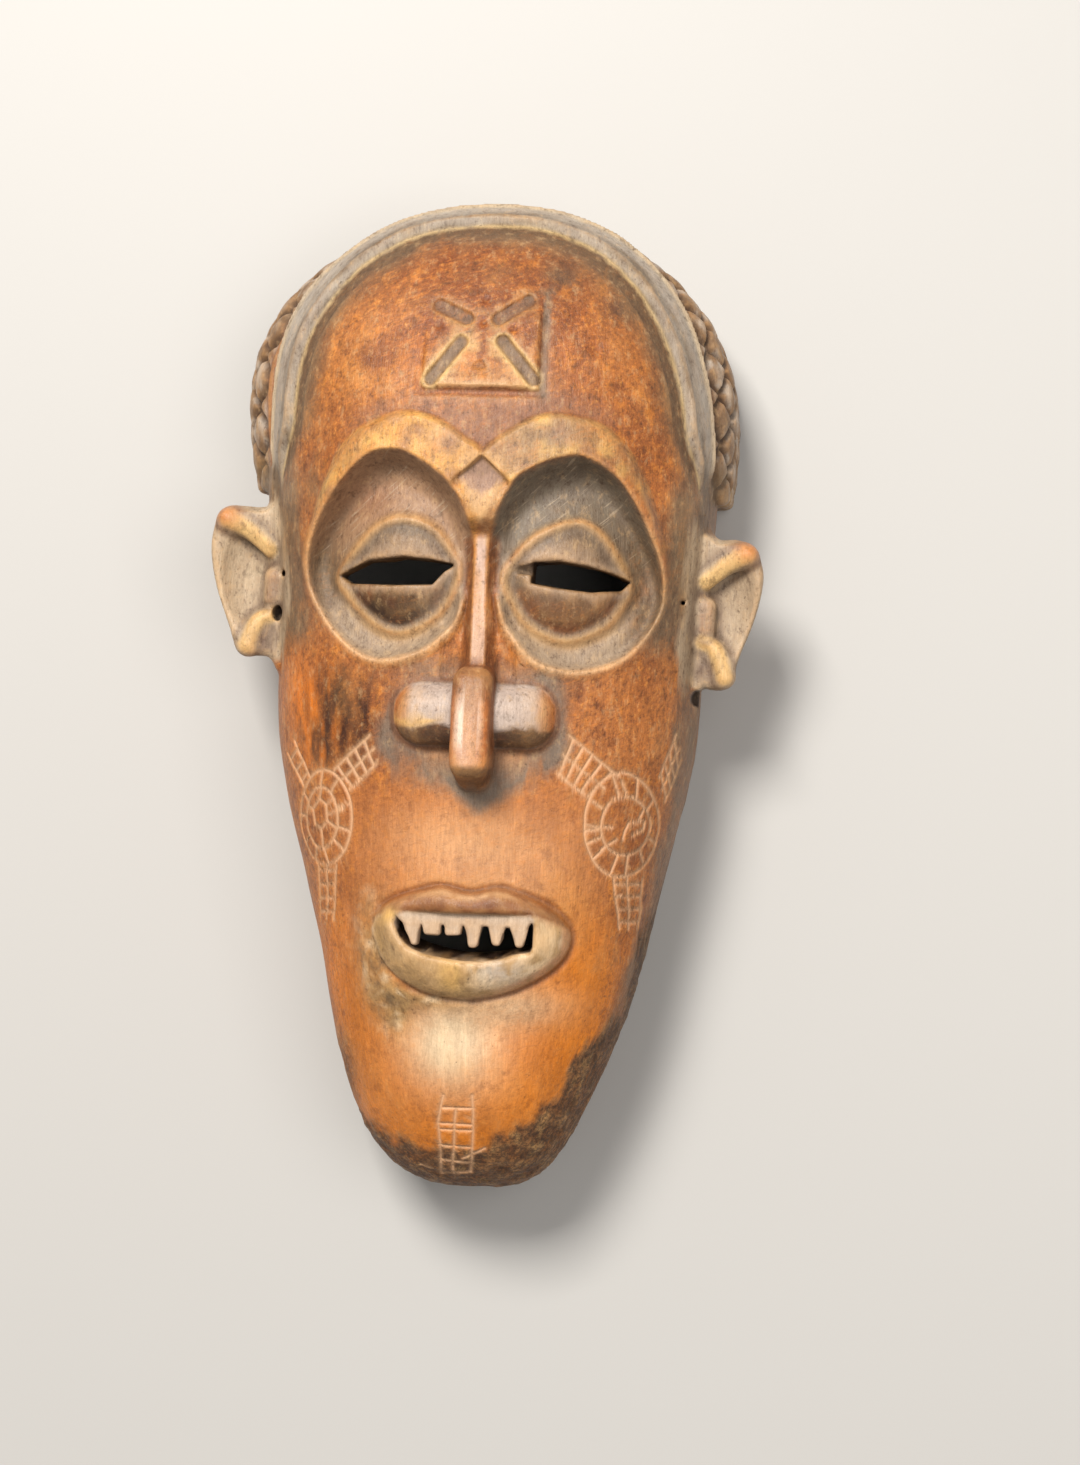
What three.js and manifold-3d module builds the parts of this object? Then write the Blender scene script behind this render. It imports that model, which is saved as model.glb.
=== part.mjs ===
// A face mask carved from one block of wood, in the style of a Central African dance mask.
// It lies on the flat rim at its back, face up: +Y runs to the crown, +X to the right of
// someone looking at the face, and +Z out of the face. The origin is the centre of the
// footprint, on the surface that the rim rests on. All lengths are in millimetres.
//
// The head is a tall rounded shell. Every feature of the face is a body of its own, worked
// out from the shell's own surface, that is joined to the shell or cut out of it.

import * as THREE from "three";
import { mergeVertices } from "three/addons/utils/BufferGeometryUtils.js";
import Module from "manifold-3d";

const wasm = await Module();
wasm.setup();

// Head
const HEAD = {
  halfWidth: 90,
  widestY: 80, // where the head is widest, seen from the front
  crownY: 199,
  chinY: -200,
  frontDepth: 75, // from the widest level up to the forehead
  backDepth: 150, // below the widest level the wall curves in on this half-axis
};
const WIDEST_Z = 45; // the level at which the head is widest
const ROUNDNESS = 2.3; // power of the rounded cross-section; 2 would be an ellipse
const CROWN_POWER = 2.4;
const JAW_POWER = 1.35;
const JAW_END = 0.33;
const FACE_FALL = 0.4; // how much lower the face lies at the chin than at the brow
const CHIN_POWER = 10;
const CHIN_END = 0.43;

// How far each side, carved by eye, swells from the even form or falls short of it: a share
// of the half-width there, and the height over which it fades.
const SWELLS = {
  left: [
    { y: 158, share: 0.085, spread: 42 },
    { y: -22, share: 0.05, spread: 36 },
    { y: -103, share: -0.045, spread: 30 },
    { y: -190, share: 0.035, spread: 26 },
  ],
  right: [
    { y: 160, share: 0.015, spread: 40 },
    { y: -20, share: 0.027, spread: 32 },
    { y: -95, share: -0.025, spread: 34 },
    { y: -170, share: -0.095, spread: 38 },
  ],
};

// Hollow for the wearer's head
const WALL = { side: 11, front: 19, crown: 14, chin: 16 };

// Brow, eye sockets and eyes. x is for the right side and is mirrored.
const BROW = { x: 30.5, y: 60, halfWidth: 40, halfHeight: 52, low: 1, high: 5 };
const BROW_RISE = { from: 20, to: 80 }; // heights over which the brow and the socket deepen
const SOCKET = { x: 37.7, y: 54.3, halfWidth: 32, halfHeight: 42.2, low: 6, high: 14 };
const EYEBALL = { x: 35, y: 44, halfWidth: 29, halfHeight: 30, below: 4, fallLow: 3, fallHigh: 10 };
const LENS = { x: 34, y: 46, halfWidth: 25.4, halfHeight: 23.4, rim: 1.7, dome: 1.6 };
const SLIT = { x: 35, y: 48.5, length: 45, upper: 5.8, lower: 4.4, corner: 5 };
const NOTCH = { x: 0.8, cornerY: 84, apexY: 94, halfWidth: 10, sink: 3, reach: 20 }; // between the brows

// Nose
const ROOT = { y: 36, halfWidth: 11, halfHeight: 36, depth: 12 };
const RIDGE = { topY: 58, bottomY: 5, baseHalf: 6.4, topHalf: 2.6, shoulder: 8, topZ: 110, bottomZ: 122 };
const BAR = { topY: 9, bottomY: -34, halfWidth: 8.4, shoulder: 4.5, topZ: 125, tipZ: 134 };
const NOSE_BASE_Z = 93; // inside the wood, where the ridge and the bar start
const WINGS = { y: -7.2, reach: 33, radius: 12.3, sink: 2, droop: 4 };

// Mouth
const LIPS = { x: 1, y: -97, halfWidth: 39.3, halfHeight: 22.8, height: 12 };
const OPENING = { left: -31.5, right: 25.5, topY: -85.4, bottomY: -103.8, cornerY: -94, bend: 16 };
const OPENING_FLARE = 2.5; // how much wider the mouth is in front of the teeth
const GUM_Z = 102; // the back of the teeth
const TOOTH = { thickness: 6, root: 3, neck: 4, tipShare: 0.22 };
const TEETH = [
  { from: -27.5, to: -19.5, tipY: -98 },
  { from: -18.8, to: -10.2, tipY: -93.6 },
  { from: -9.7, to: -1.9, tipY: -93.6 },
  { from: -1.5, to: 5, tipY: -97.6 },
  { from: 6.8, to: 14, tipY: -97 },
  { from: 15.3, to: 23, tipY: -96.5 },
];

// Forehead motif: four triangular petals round a knob
const MOTIF = { x: -1.5, y: 140.5, half: 20.5, groove: 5, knob: 3.2, raise: 3.2 };

// Headband and hair
const BAND = { lowZ: 68, highZ: 82, raise: 3, endY: 82 };
const HAIR = {
  left: { y: 122, halfWidth: 104, up: 78, down: 134 }, // half-axes above and below its widest
  right: { y: 114, halfWidth: 98, up: 86, down: 154 },
  endY: 81,
  lowZ: -5,
  topZ: 70,
  innerShare: 0.55, // where the roll ends inside the wood
  flatTopZ: 42, // above this level the hair curves in towards the band
  tuck: 0.13,
  rows: 4,
  lozenges: 22,
  lozengeHeight: 2.4,
};

// Ears. The right one sits lower than the left.
const EAR = {
  rootX: 78,
  tipX: 110,
  halfHeight: 29,
  backZ: 57,
  frontZ: 71,
  bowl: { depth: 6, halfWidth: 10, height: 0.72, fromTip: 14 },
  helixRadius: 5.6,
  lobeRadius: 4.4,
  tragusRadius: 4,
};
const EAR_Y = { left: 43, right: 36 };

// Scars cut in the cheeks and the chin. x is for the right side and is mirrored.
const SCAR = { width: 2, depth: 1.6 };
const CHEEK_RINGS = [
  { x: 59, y: -48.5, halfWidth: 14, halfHeight: 21 },
  { x: 59, y: -49, halfWidth: 8, halfHeight: 12 },
];
const CHEEK_LADDERS = [
  { from: [49.5, -35.5], to: [34, -20.5], width: 11, rails: 2, rungs: 2 },
  { from: [69, -33], to: [78, -14], width: 6, rails: 2, rungs: 2 },
  { from: [59.5, -69.5], to: [60.5, -91], width: 8, rails: 2, rungs: 2 },
];
const CHIN_LADDER = { from: [-4, -160], to: [-5.5, -192], width: 12.5, rails: 3, rungs: 3 };

// Holes drilled through the side for the costume's cords
const CORD_HOLES = [
  { side: -1, y: 28, z: 62, radius: 2.9 },
  { side: 1, y: 2, z: 40, radius: 3.4 },
];

const CORD_HOLE_LENGTH = 60;

// Facets: stations along the head, and steps round its front
const FACETS = {
  head: { stations: 24, front: 22 },
  grown: { stations: 20, front: 22 },
  inside: { stations: 18, front: 16 },
  oval: 22,
  ring: 16,
};
// Degrees past the widest level at which the head has a corner behind it. The back is cut
// off flat at about the second of them.
const BACK_ANGLES = [0, 7.5, 16, 90, 164, 172.5];

const CUT_FROM_Z = 20; // inside the hollow, where cuts through the face start
const REACH = 400; // longer than anything in the mask, for cutting tools
const EDGE_DROP = 2.5; // how far a raised form's edge runs down into the surface it stands on
const TAU = 2 * Math.PI;

// Turns a closed three.js geometry into a solid that can be joined and cut.
function solidOf(geometry) {
  const bare = geometry.index ? geometry.toNonIndexed() : geometry.clone();
  bare.deleteAttribute("normal");
  bare.deleteAttribute("uv");
  const merged = mergeVertices(bare, 1e-4);
  return new wasm.Manifold(
    new wasm.Mesh({
      numProp: 3,
      vertProperties: merged.attributes.position.array,
      triVerts: new Uint32Array(merged.index.array),
    }),
  );
}

// A closed body that runs from a start point through rings of points to an end point.
// Each ring turns anticlockwise seen from the end.
function ringBody(start, rings, end) {
  const count = rings[0].length;
  const points = [start, ...rings.flat(), end];
  const at = (ring, i) => 1 + ring * count + (i % count);
  const last = points.length - 1;
  const faces = [];
  for (let i = 0; i < count; i++) {
    faces.push(0, at(0, i + 1), at(0, i));
    for (let ring = 0; ring < rings.length - 1; ring++) {
      faces.push(at(ring, i), at(ring, i + 1), at(ring + 1, i + 1));
      faces.push(at(ring, i), at(ring + 1, i + 1), at(ring + 1, i));
    }
    faces.push(last, at(rings.length - 1, i), at(rings.length - 1, i + 1));
  }
  const geometry = new THREE.BufferGeometry();
  geometry.setAttribute("position", new THREE.Float32BufferAttribute(points.flat(), 3));
  geometry.setIndex(faces);
  return solidOf(geometry);
}

const join = (solids) => solids.reduce((whole, solid) => whole.add(solid));

function box(low, high) {
  const size = high.map((value, i) => value - low[i]);
  const geometry = new THREE.BoxGeometry(...size);
  geometry.translate(...low.map((value, i) => value + size[i] / 2));
  return solidOf(geometry);
}

function prism(shape, lowZ, highZ) {
  const geometry = new THREE.ExtrudeGeometry(shape, {
    depth: highZ - lowZ,
    bevelEnabled: false,
    curveSegments: 6,
  });
  geometry.translate(0, 0, lowZ);
  return solidOf(geometry);
}

function capsule(from, to, radius) {
  const a = new THREE.Vector3(...from);
  const b = new THREE.Vector3(...to);
  const geometry = new THREE.CapsuleGeometry(radius, a.distanceTo(b), 2, 10);
  const upright = new THREE.Vector3(0, 1, 0);
  const turn = new THREE.Quaternion().setFromUnitVectors(upright, b.clone().sub(a).normalize());
  geometry.applyQuaternion(turn);
  geometry.translate(...a.add(b).multiplyScalar(0.5).toArray());
  return solidOf(geometry);
}

function smooth(from, to, value) {
  const t = Math.min(1, Math.max(0, (value - from) / (to - from)));
  return t * t * (3 - 2 * t);
}

const power = (value, exponent) => Math.sign(value) * Math.abs(value) ** exponent;

// The head's half-width and its depth before and behind the widest level, at height y.
function headAt(y, head) {
  if (y >= head.widestY) {
    const t = Math.min(1, (y - head.widestY) / (head.crownY - head.widestY));
    const share = (1 - t ** CROWN_POWER) ** (1 / CROWN_POWER);
    return {
      halfWidth: head.halfWidth * share,
      front: head.frontDepth * share,
      back: head.backDepth * share,
    };
  }
  const t = Math.min(1, (head.widestY - y) / (head.widestY - head.chinY));
  const blunt = (1 - t ** CHIN_POWER) ** CHIN_END;
  return {
    halfWidth: head.halfWidth * (1 - t ** JAW_POWER) ** JAW_END,
    front: head.frontDepth * (1 - FACE_FALL * t) * blunt,
    back: head.backDepth * blunt,
  };
}

// The share of the even half-width that the head has at height y on the side where x lies.
function swell(x, y) {
  const swells = x < 0 ? SWELLS.left : SWELLS.right;
  const add = ({ y: middle, share, spread }) => share * Math.exp(-(((y - middle) / spread) ** 2));
  return swells.reduce((sum, one) => sum + add(one), 1);
}

// The whole head as a closed body, before its back is cut off flat.
function headBody(head, { stations, front: frontSteps }) {
  const ring = (y) => {
    const { halfWidth, front, back } = headAt(y, head);
    const point = (angle, depth) => {
      const x = halfWidth * power(Math.sin(angle), 2 / ROUNDNESS);
      return [x * swell(x, y), y, WIDEST_Z + depth * power(Math.cos(angle), 2 / ROUNDNESS)];
    };
    const points = [];
    for (let i = 0; i < frontSteps; i++) {
      points.push(point(-Math.PI / 2 + (i / frontSteps) * Math.PI, front));
    }
    for (const degrees of BACK_ANGLES) {
      points.push(point(Math.PI / 2 + (degrees / 180) * Math.PI, back));
    }
    return points;
  };
  const middle = (head.crownY + head.chinY) / 2;
  const half = (head.crownY - head.chinY) / 2;
  const rings = [];
  for (let i = 1; i < stations; i++) {
    rings.push(ring(middle - half * Math.cos((i / stations) * Math.PI)));
  }
  return ringBody([0, head.chinY, WIDEST_Z], rings, [0, head.crownY, WIDEST_Z]);
}

// The same head, thicker all round by some amount.
function grown(by) {
  return headBody(
    {
      ...HEAD,
      halfWidth: HEAD.halfWidth + by,
      crownY: HEAD.crownY + by,
      chinY: HEAD.chinY - by,
      frontDepth: HEAD.frontDepth + by,
    },
    FACETS.grown,
  );
}

// Height of the plain head's front surface.
function frontZ(x, y) {
  const { halfWidth, front } = headAt(y, HEAD);
  const share = Math.min(1, Math.abs(x) / halfWidth / swell(x, y)) ** ROUNDNESS;
  return WIDEST_Z + front * (1 - share) ** (1 / ROUNDNESS);
}

// An oval body between two surfaces. Its rings are shares of the oval's half-axes, and top
// and bottom give the height at a point on a ring.
function ovalPatch(oval, rings, steps, bottom, top) {
  const ringAt = (share, surface) =>
    Array.from({ length: steps }, (_, i) => {
      const angle = (i / steps) * TAU;
      const x = oval.x + oval.halfWidth * share * Math.cos(angle);
      const y = oval.y + oval.halfHeight * share * Math.sin(angle);
      return [x, y, surface(x, y, share)];
    });
  const centre = (surface) => [oval.x, oval.y, surface(oval.x, oval.y, 0)];
  const outwards = rings.map((share) => ringAt(share, bottom));
  const inwards = [...rings].reverse().map((share) => ringAt(share, top));
  return ringBody(centre(bottom), [...outwards, ...inwards], centre(top));
}

const mirrored = (oval, side) => ({ ...oval, x: oval.x * side });
const farBelow = (depth) => (x, y) => frontZ(x, y) - depth;
const farAbove = () => REACH / 2;

// Raised brow, a band above each socket that thins out to a rim below it
const upperShare = (y) => smooth(BROW_RISE.from, BROW_RISE.to, y);
const browRaise = (y) => BROW.low + (BROW.high - BROW.low) * upperShare(y);

function brow(side) {
  const top = (x, y, share) => frontZ(x, y) + (share < 1 ? browRaise(y) : -EDGE_DROP);
  return ovalPatch(mirrored(BROW, side), [0.5, 0.8, 0.975, 1], FACETS.oval, farBelow(8), top);
}

function socketCutter(side) {
  const depth = (y) => SOCKET.low + (SOCKET.high - SOCKET.low) * upperShare(y);
  const bottom = (x, y, share) =>
    frontZ(x, y) + browRaise(y) - (depth(y) + browRaise(y)) * (1 - share ** 6);
  return ovalPatch(mirrored(SOCKET, side), [0.5, 0.75, 0.9, 1], FACETS.oval, bottom, farAbove);
}

function eyeSurface(x, y, side) {
  const dx = (x - EYEBALL.x * side) / EYEBALL.halfWidth;
  const dy = (y - EYEBALL.y) / EYEBALL.halfHeight;
  const share = Math.hypot(dx, dy);
  const fall = EYEBALL.fallLow + (EYEBALL.fallHigh - EYEBALL.fallLow) * smooth(-0.6, 0.8, dy);
  return frontZ(x, y) - EYEBALL.below - fall * share ** 2.5;
}

function eyeball(side) {
  const top = (x, y) => eyeSurface(x, y, side);
  return ovalPatch(mirrored(EYEBALL, side), [0.5, 0.8, 1], FACETS.oval, farBelow(20), top);
}

// The lidded lens on the eyeball: a raised rim round two slightly domed lids
function lens(side) {
  const rise = (share) => {
    if (share > 1) return -EDGE_DROP;
    if (share > 0.9) return LENS.rim;
    return LENS.dome * (1 - share ** 2);
  };
  const top = (x, y, share) => eyeSurface(x, y, side) + rise(share);
  return ovalPatch(mirrored(LENS, side), [0.5, 0.86, 0.92, 1, 1.03], FACETS.oval, farBelow(18), top);
}

function slitCutter(side) {
  const left = SLIT.x * side - SLIT.length / 2;
  const right = SLIT.x * side + SLIT.length / 2;
  const shape = new THREE.Shape();
  shape.moveTo(left, SLIT.y);
  shape.lineTo(left + SLIT.corner, SLIT.y - SLIT.lower);
  shape.lineTo(right - SLIT.corner, SLIT.y - SLIT.lower);
  shape.lineTo(right, SLIT.y);
  shape.quadraticCurveTo(SLIT.x * side, SLIT.y + 2 * SLIT.upper, left, SLIT.y);
  return prism(shape, CUT_FROM_Z, REACH / 2);
}

// A shallow three-sided notch where the two brows meet
function glabellaNotch() {
  const { x, cornerY, apexY, halfWidth, sink, reach } = NOTCH;
  const surface = (y) => frontZ(x, y) + browRaise(y);
  const low = [
    [x, apexY, surface(apexY) - sink],
    [x - halfWidth, cornerY, surface(cornerY) + 0.4],
    [x + halfWidth, cornerY, surface(cornerY) + 0.4],
  ];
  const high = low.map(([px, py, pz]) => [px, py, pz + reach]);
  const centre = (ring) => [0, 1, 2].map((axis) => (ring[0][axis] + ring[1][axis] + ring[2][axis]) / 3);
  return ringBody(centre(low), [low, high], centre(high));
}

// The head is thinned between the sockets, and the narrow ridge then stands on it.
function noseRootCutter() {
  const bottom = (x, y, share) => frontZ(x, y) - ROOT.depth * (1 - share ** 4);
  return ovalPatch({ x: 0, ...ROOT }, [0.5, 0.8, 1], FACETS.ring, bottom, farAbove);
}

// A bar along Y with a flat-topped, bevelled section, given at its stations.
function bevelledBar(stations, baseZ) {
  const rings = stations.map(({ y, topZ, baseHalf, topHalf, shoulder }) => [
    [-baseHalf, y, baseZ],
    [-baseHalf, y, topZ - shoulder],
    [-topHalf, y, topZ],
    [topHalf, y, topZ],
    [baseHalf, y, topZ - shoulder],
    [baseHalf, y, baseZ],
  ]);
  const endPoint = ({ y, topZ }) => [0, y, (baseZ + topZ) / 2];
  return ringBody(endPoint(stations[0]), rings, endPoint(stations[stations.length - 1]));
}

function noseRidge() {
  const { topY, bottomY, baseHalf, topHalf, shoulder, topZ, bottomZ } = RIDGE;
  const section = (y, z) => ({ y, topZ: z, baseHalf, topHalf, shoulder });
  return bevelledBar([section(bottomY, bottomZ), section(topY, topZ)], NOSE_BASE_Z);
}

function noseBar() {
  const { topY, bottomY, halfWidth, shoulder, topZ, tipZ } = BAR;
  const section = (y, z, share) => ({
    y,
    topZ: z,
    baseHalf: halfWidth * share,
    topHalf: halfWidth * 0.5 * share,
    shoulder: shoulder * share,
  });
  const stations = [
    section(bottomY, tipZ - 7, 0.62),
    section(bottomY + 3, tipZ - 1.5, 0.92),
    section(bottomY + 8, tipZ, 1),
    section(topY - 6, topZ, 1),
    section(topY, topZ - 5, 0.85),
  ];
  return bevelledBar(stations, NOSE_BASE_Z);
}

function noseWings() {
  const z = frontZ(0, WINGS.y) - WINGS.sink;
  const half = WINGS.reach - WINGS.radius;
  const outer = z - WINGS.droop;
  return join([
    capsule([-half, WINGS.y, outer], [0, WINGS.y, z], WINGS.radius),
    capsule([0, WINGS.y, z], [half, WINGS.y, outer], WINGS.radius),
  ]);
}

// Both lips: an oval swelling that is cut through by the mouth
function lips() {
  const rise = (share) => (share < 1 ? LIPS.height * (1 - share ** 3.2) ** 0.6 : -EDGE_DROP);
  const top = (x, y, share) => frontZ(x, y) + rise(share);
  return ovalPatch(LIPS, [0.45, 0.72, 0.88, 0.98, 1], FACETS.oval, farBelow(10), top);
}

function mouthShape(inset) {
  const { left, right, topY, bottomY, cornerY, bend } = OPENING;
  const shape = new THREE.Shape();
  shape.moveTo(left - inset, cornerY);
  shape.quadraticCurveTo(-bend, bottomY - inset * 1.6, 0, bottomY - inset);
  shape.quadraticCurveTo(bend, bottomY - inset, right + inset, bottomY + 5 - inset);
  shape.lineTo(right + inset, topY + inset * 0.6);
  shape.lineTo(left + 2, topY + inset * 0.6);
  return shape;
}

// The mouth widens towards the front, so that the teeth stand back from the lips.
function mouthCutter() {
  const flare = prism(mouthShape(OPENING_FLARE), GUM_Z + TOOTH.thickness, REACH / 2);
  return prism(mouthShape(0), CUT_FROM_Z, REACH / 2).add(flare);
}

function tooth({ from, to, tipY }) {
  const middle = (from + to) / 2;
  const tip = (to - from) * TOOTH.tipShare;
  const root = OPENING.topY + TOOTH.root;
  const neck = OPENING.topY - TOOTH.neck;
  const shape = new THREE.Shape();
  shape.moveTo(from, root);
  shape.lineTo(from, neck);
  shape.lineTo(middle - tip, tipY);
  shape.lineTo(middle + tip, tipY);
  shape.lineTo(to, neck);
  shape.lineTo(to, root);
  return prism(shape, GUM_Z, GUM_Z + TOOTH.thickness);
}

function teeth() {
  const left = TEETH[0].from;
  const right = TEETH[TEETH.length - 1].to;
  const low = [left, OPENING.topY - TOOTH.neck, GUM_Z - 1];
  const gum = box(low, [right, OPENING.topY + TOOTH.root, GUM_Z + TOOTH.thickness]);
  return join([gum, ...TEETH.map(tooth)]);
}

// Forehead motif
function motif() {
  const { x, y, half, groove, knob, raise } = MOTIF;
  const inner = groove * 0.9;
  const petal = (quarter) => {
    const turn = (quarter * Math.PI) / 2;
    const place = (along, across) => [
      x + along * Math.cos(turn) - across * Math.sin(turn),
      y + along * Math.sin(turn) + across * Math.cos(turn),
    ];
    const shape = new THREE.Shape();
    shape.moveTo(...place(inner, 1));
    shape.lineTo(...place(inner, -1));
    shape.lineTo(...place(half, -(half - inner)));
    shape.lineTo(...place(half, half - inner));
    return prism(shape, WIDEST_Z, REACH / 2);
  };
  const centre = new THREE.Shape();
  centre.absarc(x, y, knob, 0, TAU);
  const outline = join([0, 1, 2, 3].map(petal)).add(prism(centre, WIDEST_Z, REACH / 2));
  return grown(raise).intersect(outline);
}

// Headband over the crown
function headband() {
  const slab = box([-REACH, BAND.endY, BAND.lowZ], [REACH, REACH, BAND.highZ]);
  return grown(BAND.raise).intersect(slab);
}

// Hair behind the band: a rounded roll from ear to ear over the crown, quilted with lozenges
function hair() {
  const columns = HAIR.lozenges * 2;
  const levels = HAIR.rows * 2;
  const endAngle = ({ y, down }) => Math.asin((y - HAIR.endY) / down);
  const start = -endAngle(HAIR.right);
  const sweep = Math.PI + endAngle(HAIR.left) - start;
  const ring = (column) => {
    const angle = start + (column / columns) * sweep;
    const side = Math.cos(angle) < 0 ? HAIR.left : HAIR.right;
    const height = Math.sin(angle) < 0 ? side.down : side.up;
    const place = (share, lift, z) => [
      (side.halfWidth * share + lift) * Math.cos(angle),
      side.y + (height * share + lift) * Math.sin(angle),
      z,
    ];
    const points = [place(HAIR.innerShare, 0, HAIR.lowZ)];
    for (let level = 0; level <= levels; level++) {
      const z = HAIR.lowZ + ((HAIR.topZ - HAIR.lowZ) * level) / levels;
      const over = Math.max(0, z - HAIR.flatTopZ) / (HAIR.topZ - HAIR.flatTopZ);
      const peak = (column + level) % 2 === 1;
      points.push(place(1 - HAIR.tuck * over ** 3, peak ? 0 : -HAIR.lozengeHeight, z));
    }
    points.push(place(HAIR.innerShare, 0, HAIR.topZ));
    return points.reverse();
  };
  const rings = Array.from({ length: columns + 1 }, (_, column) => ring(column));
  const centre = (points) =>
    [0, 1, 2].map((axis) => points.reduce((sum, point) => sum + point[axis], 0) / points.length);
  return ringBody(centre(rings[0]), rings, centre(rings[columns]));
}

// Ears. Heights are shares of the ear's half-height.
function ear(side, y) {
  const { rootX, tipX, halfHeight, backZ, frontZ: faceZ, bowl } = EAR;
  const at = (x, dy) => [side * x, y + dy * halfHeight];
  const shape = new THREE.Shape();
  shape.moveTo(...at(rootX, 0.95));
  shape.lineTo(...at(tipX - 9, 1));
  shape.quadraticCurveTo(...at(tipX + 1, 0.9), ...at(tipX, 0.35));
  shape.quadraticCurveTo(...at(tipX - 1, -0.3), ...at(tipX - 11, -1));
  shape.lineTo(...at(rootX, -0.95));
  const plate = prism(shape, backZ, faceZ);
  const oval = {
    x: side * (tipX - bowl.fromTip),
    y,
    halfWidth: bowl.halfWidth,
    halfHeight: halfHeight * bowl.height,
  };
  const bowlFloor = (_x, _y, share) => faceZ - bowl.depth * (1 - share ** 3);
  const hollow = ovalPatch(oval, [0.5, 0.8, 1], FACETS.ring, bowlFloor, farAbove);
  const helix = capsule(
    [side * (tipX - 7), y + halfHeight * 0.8, faceZ],
    [side * (rootX + 9), y + halfHeight * 0.5, faceZ - 1],
    EAR.helixRadius,
  );
  const lobe = capsule(
    [side * (tipX - 14), y - halfHeight * 0.82, faceZ - 2],
    [side * (tipX - 17), y - halfHeight * 0.5, faceZ - 1],
    EAR.lobeRadius,
  );
  const tragus = capsule(
    [side * (rootX + 10), y + halfHeight * 0.3, faceZ - 2],
    [side * (rootX + 9), y - halfHeight * 0.25, faceZ - 2],
    EAR.tragusRadius,
  );
  return join([plate.subtract(hollow), helix, lobe, tragus]);
}

// A straight cut of even depth that follows the face
function cut(from, to) {
  const a = new THREE.Vector2(...from);
  const b = new THREE.Vector2(...to);
  const across = b.clone().sub(a).rotateAround(new THREE.Vector2(), Math.PI / 2).setLength(SCAR.width / 2);
  const section = (share) => {
    const middle = a.clone().lerp(b, share);
    const [left, right] = [middle.clone().add(across), middle.clone().sub(across)];
    return [
      [left.x, left.y, frontZ(left.x, left.y) - SCAR.depth],
      [left.x, left.y, REACH / 2],
      [right.x, right.y, REACH / 2],
      [right.x, right.y, frontZ(right.x, right.y) - SCAR.depth],
    ];
  };
  const end = ({ x, y }) => [x, y, REACH / 3];
  return ringBody(end(a), [section(0), section(1)], end(b));
}

function ringScar(oval) {
  const inner = {
    ...oval,
    halfWidth: oval.halfWidth - SCAR.width,
    halfHeight: oval.halfHeight - SCAR.width,
  };
  const disc = ovalPatch(oval, [0.5, 1], FACETS.ring, farBelow(SCAR.depth), farAbove);
  return disc.subtract(ovalPatch(inner, [0.5, 1], FACETS.ring, farBelow(SCAR.depth * 3), () => REACH));
}

// Rails side by side with rungs across them
function ladder({ from, to, width, rails, rungs }, side) {
  const a = new THREE.Vector2(...from);
  const b = new THREE.Vector2(...to);
  const across = b.clone().sub(a).rotateAround(new THREE.Vector2(), Math.PI / 2).setLength(width);
  const place = (along, sideways) => {
    const point = a.clone().lerp(b, along).addScaledVector(across, sideways - 0.5);
    return [point.x * side, point.y];
  };
  const railCuts = Array.from({ length: rails }, (_, i) => {
    const sideways = i / (rails - 1);
    return cut(place(0, sideways), place(1, sideways));
  });
  const rungCuts = Array.from({ length: rungs }, (_, i) => {
    const along = (i + 0.5) / rungs;
    return cut(place(along, 0), place(along, 1));
  });
  return join([...railCuts, ...rungCuts]);
}

function scars() {
  const cheek = (side) => [
    ...CHEEK_RINGS.map((ring) => ringScar(mirrored(ring, side))),
    ...CHEEK_LADDERS.map((rails) => ladder(rails, side)),
  ];
  return join([...cheek(-1), ...cheek(1), ladder(CHIN_LADDER, 1)]);
}

function cordHole({ side, y, z, radius }) {
  const geometry = new THREE.CylinderGeometry(radius, radius, CORD_HOLE_LENGTH, 12);
  geometry.rotateZ(Math.PI / 2);
  geometry.translate(side * HEAD.halfWidth, y, z);
  return solidOf(geometry);
}

// The inside, hollowed out from the back
function hollow() {
  const inside = {
    ...HEAD,
    halfWidth: HEAD.halfWidth - WALL.side,
    crownY: HEAD.crownY - WALL.crown,
    chinY: HEAD.chinY + WALL.chin,
    frontDepth: HEAD.frontDepth - WALL.front,
  };
  return headBody(inside, FACETS.inside);
}

function carvedMask() {
  const sides = [-1, 1];
  let mask = headBody(HEAD, FACETS.head);
  mask = join([mask, ...sides.map(brow), motif()]);
  mask = mask.subtract(join([...sides.map(socketCutter), noseRootCutter(), glabellaNotch()]));
  mask = join([mask, ...sides.map(eyeball), ...sides.map(lens)]);
  mask = mask.subtract(scars());
  mask = join([mask, noseRidge(), noseWings(), noseBar(), lips()]);
  mask = join([mask, headband(), hair()]);
  mask = join([mask, ear(-1, EAR_Y.left), ear(1, EAR_Y.right)]);
  mask = mask.subtract(join([hollow(), mouthCutter(), ...sides.map(slitCutter)]));
  mask = mask.add(teeth());
  mask = mask.subtract(join(CORD_HOLES.map(cordHole)));
  return mask.subtract(box([-REACH, -REACH, -REACH], [REACH, REACH, 0]));
}

function geometryOf(solid) {
  const { vertProperties, triVerts, numProp } = solid.getMesh();
  const positions = [];
  for (let i = 0; i < vertProperties.length; i += numProp) {
    positions.push(vertProperties[i], vertProperties[i + 1], vertProperties[i + 2]);
  }
  const geometry = new THREE.BufferGeometry();
  geometry.setAttribute("position", new THREE.Float32BufferAttribute(positions, 3));
  geometry.setIndex(Array.from(triVerts));
  geometry.computeVertexNormals();
  return geometry;
}

const patinatedWood = new THREE.MeshStandardMaterial({
  name: "patinated wood",
  color: 0xa9683a,
  roughness: 0.55,
  metalness: 0,
  flatShading: true,
});

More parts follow.
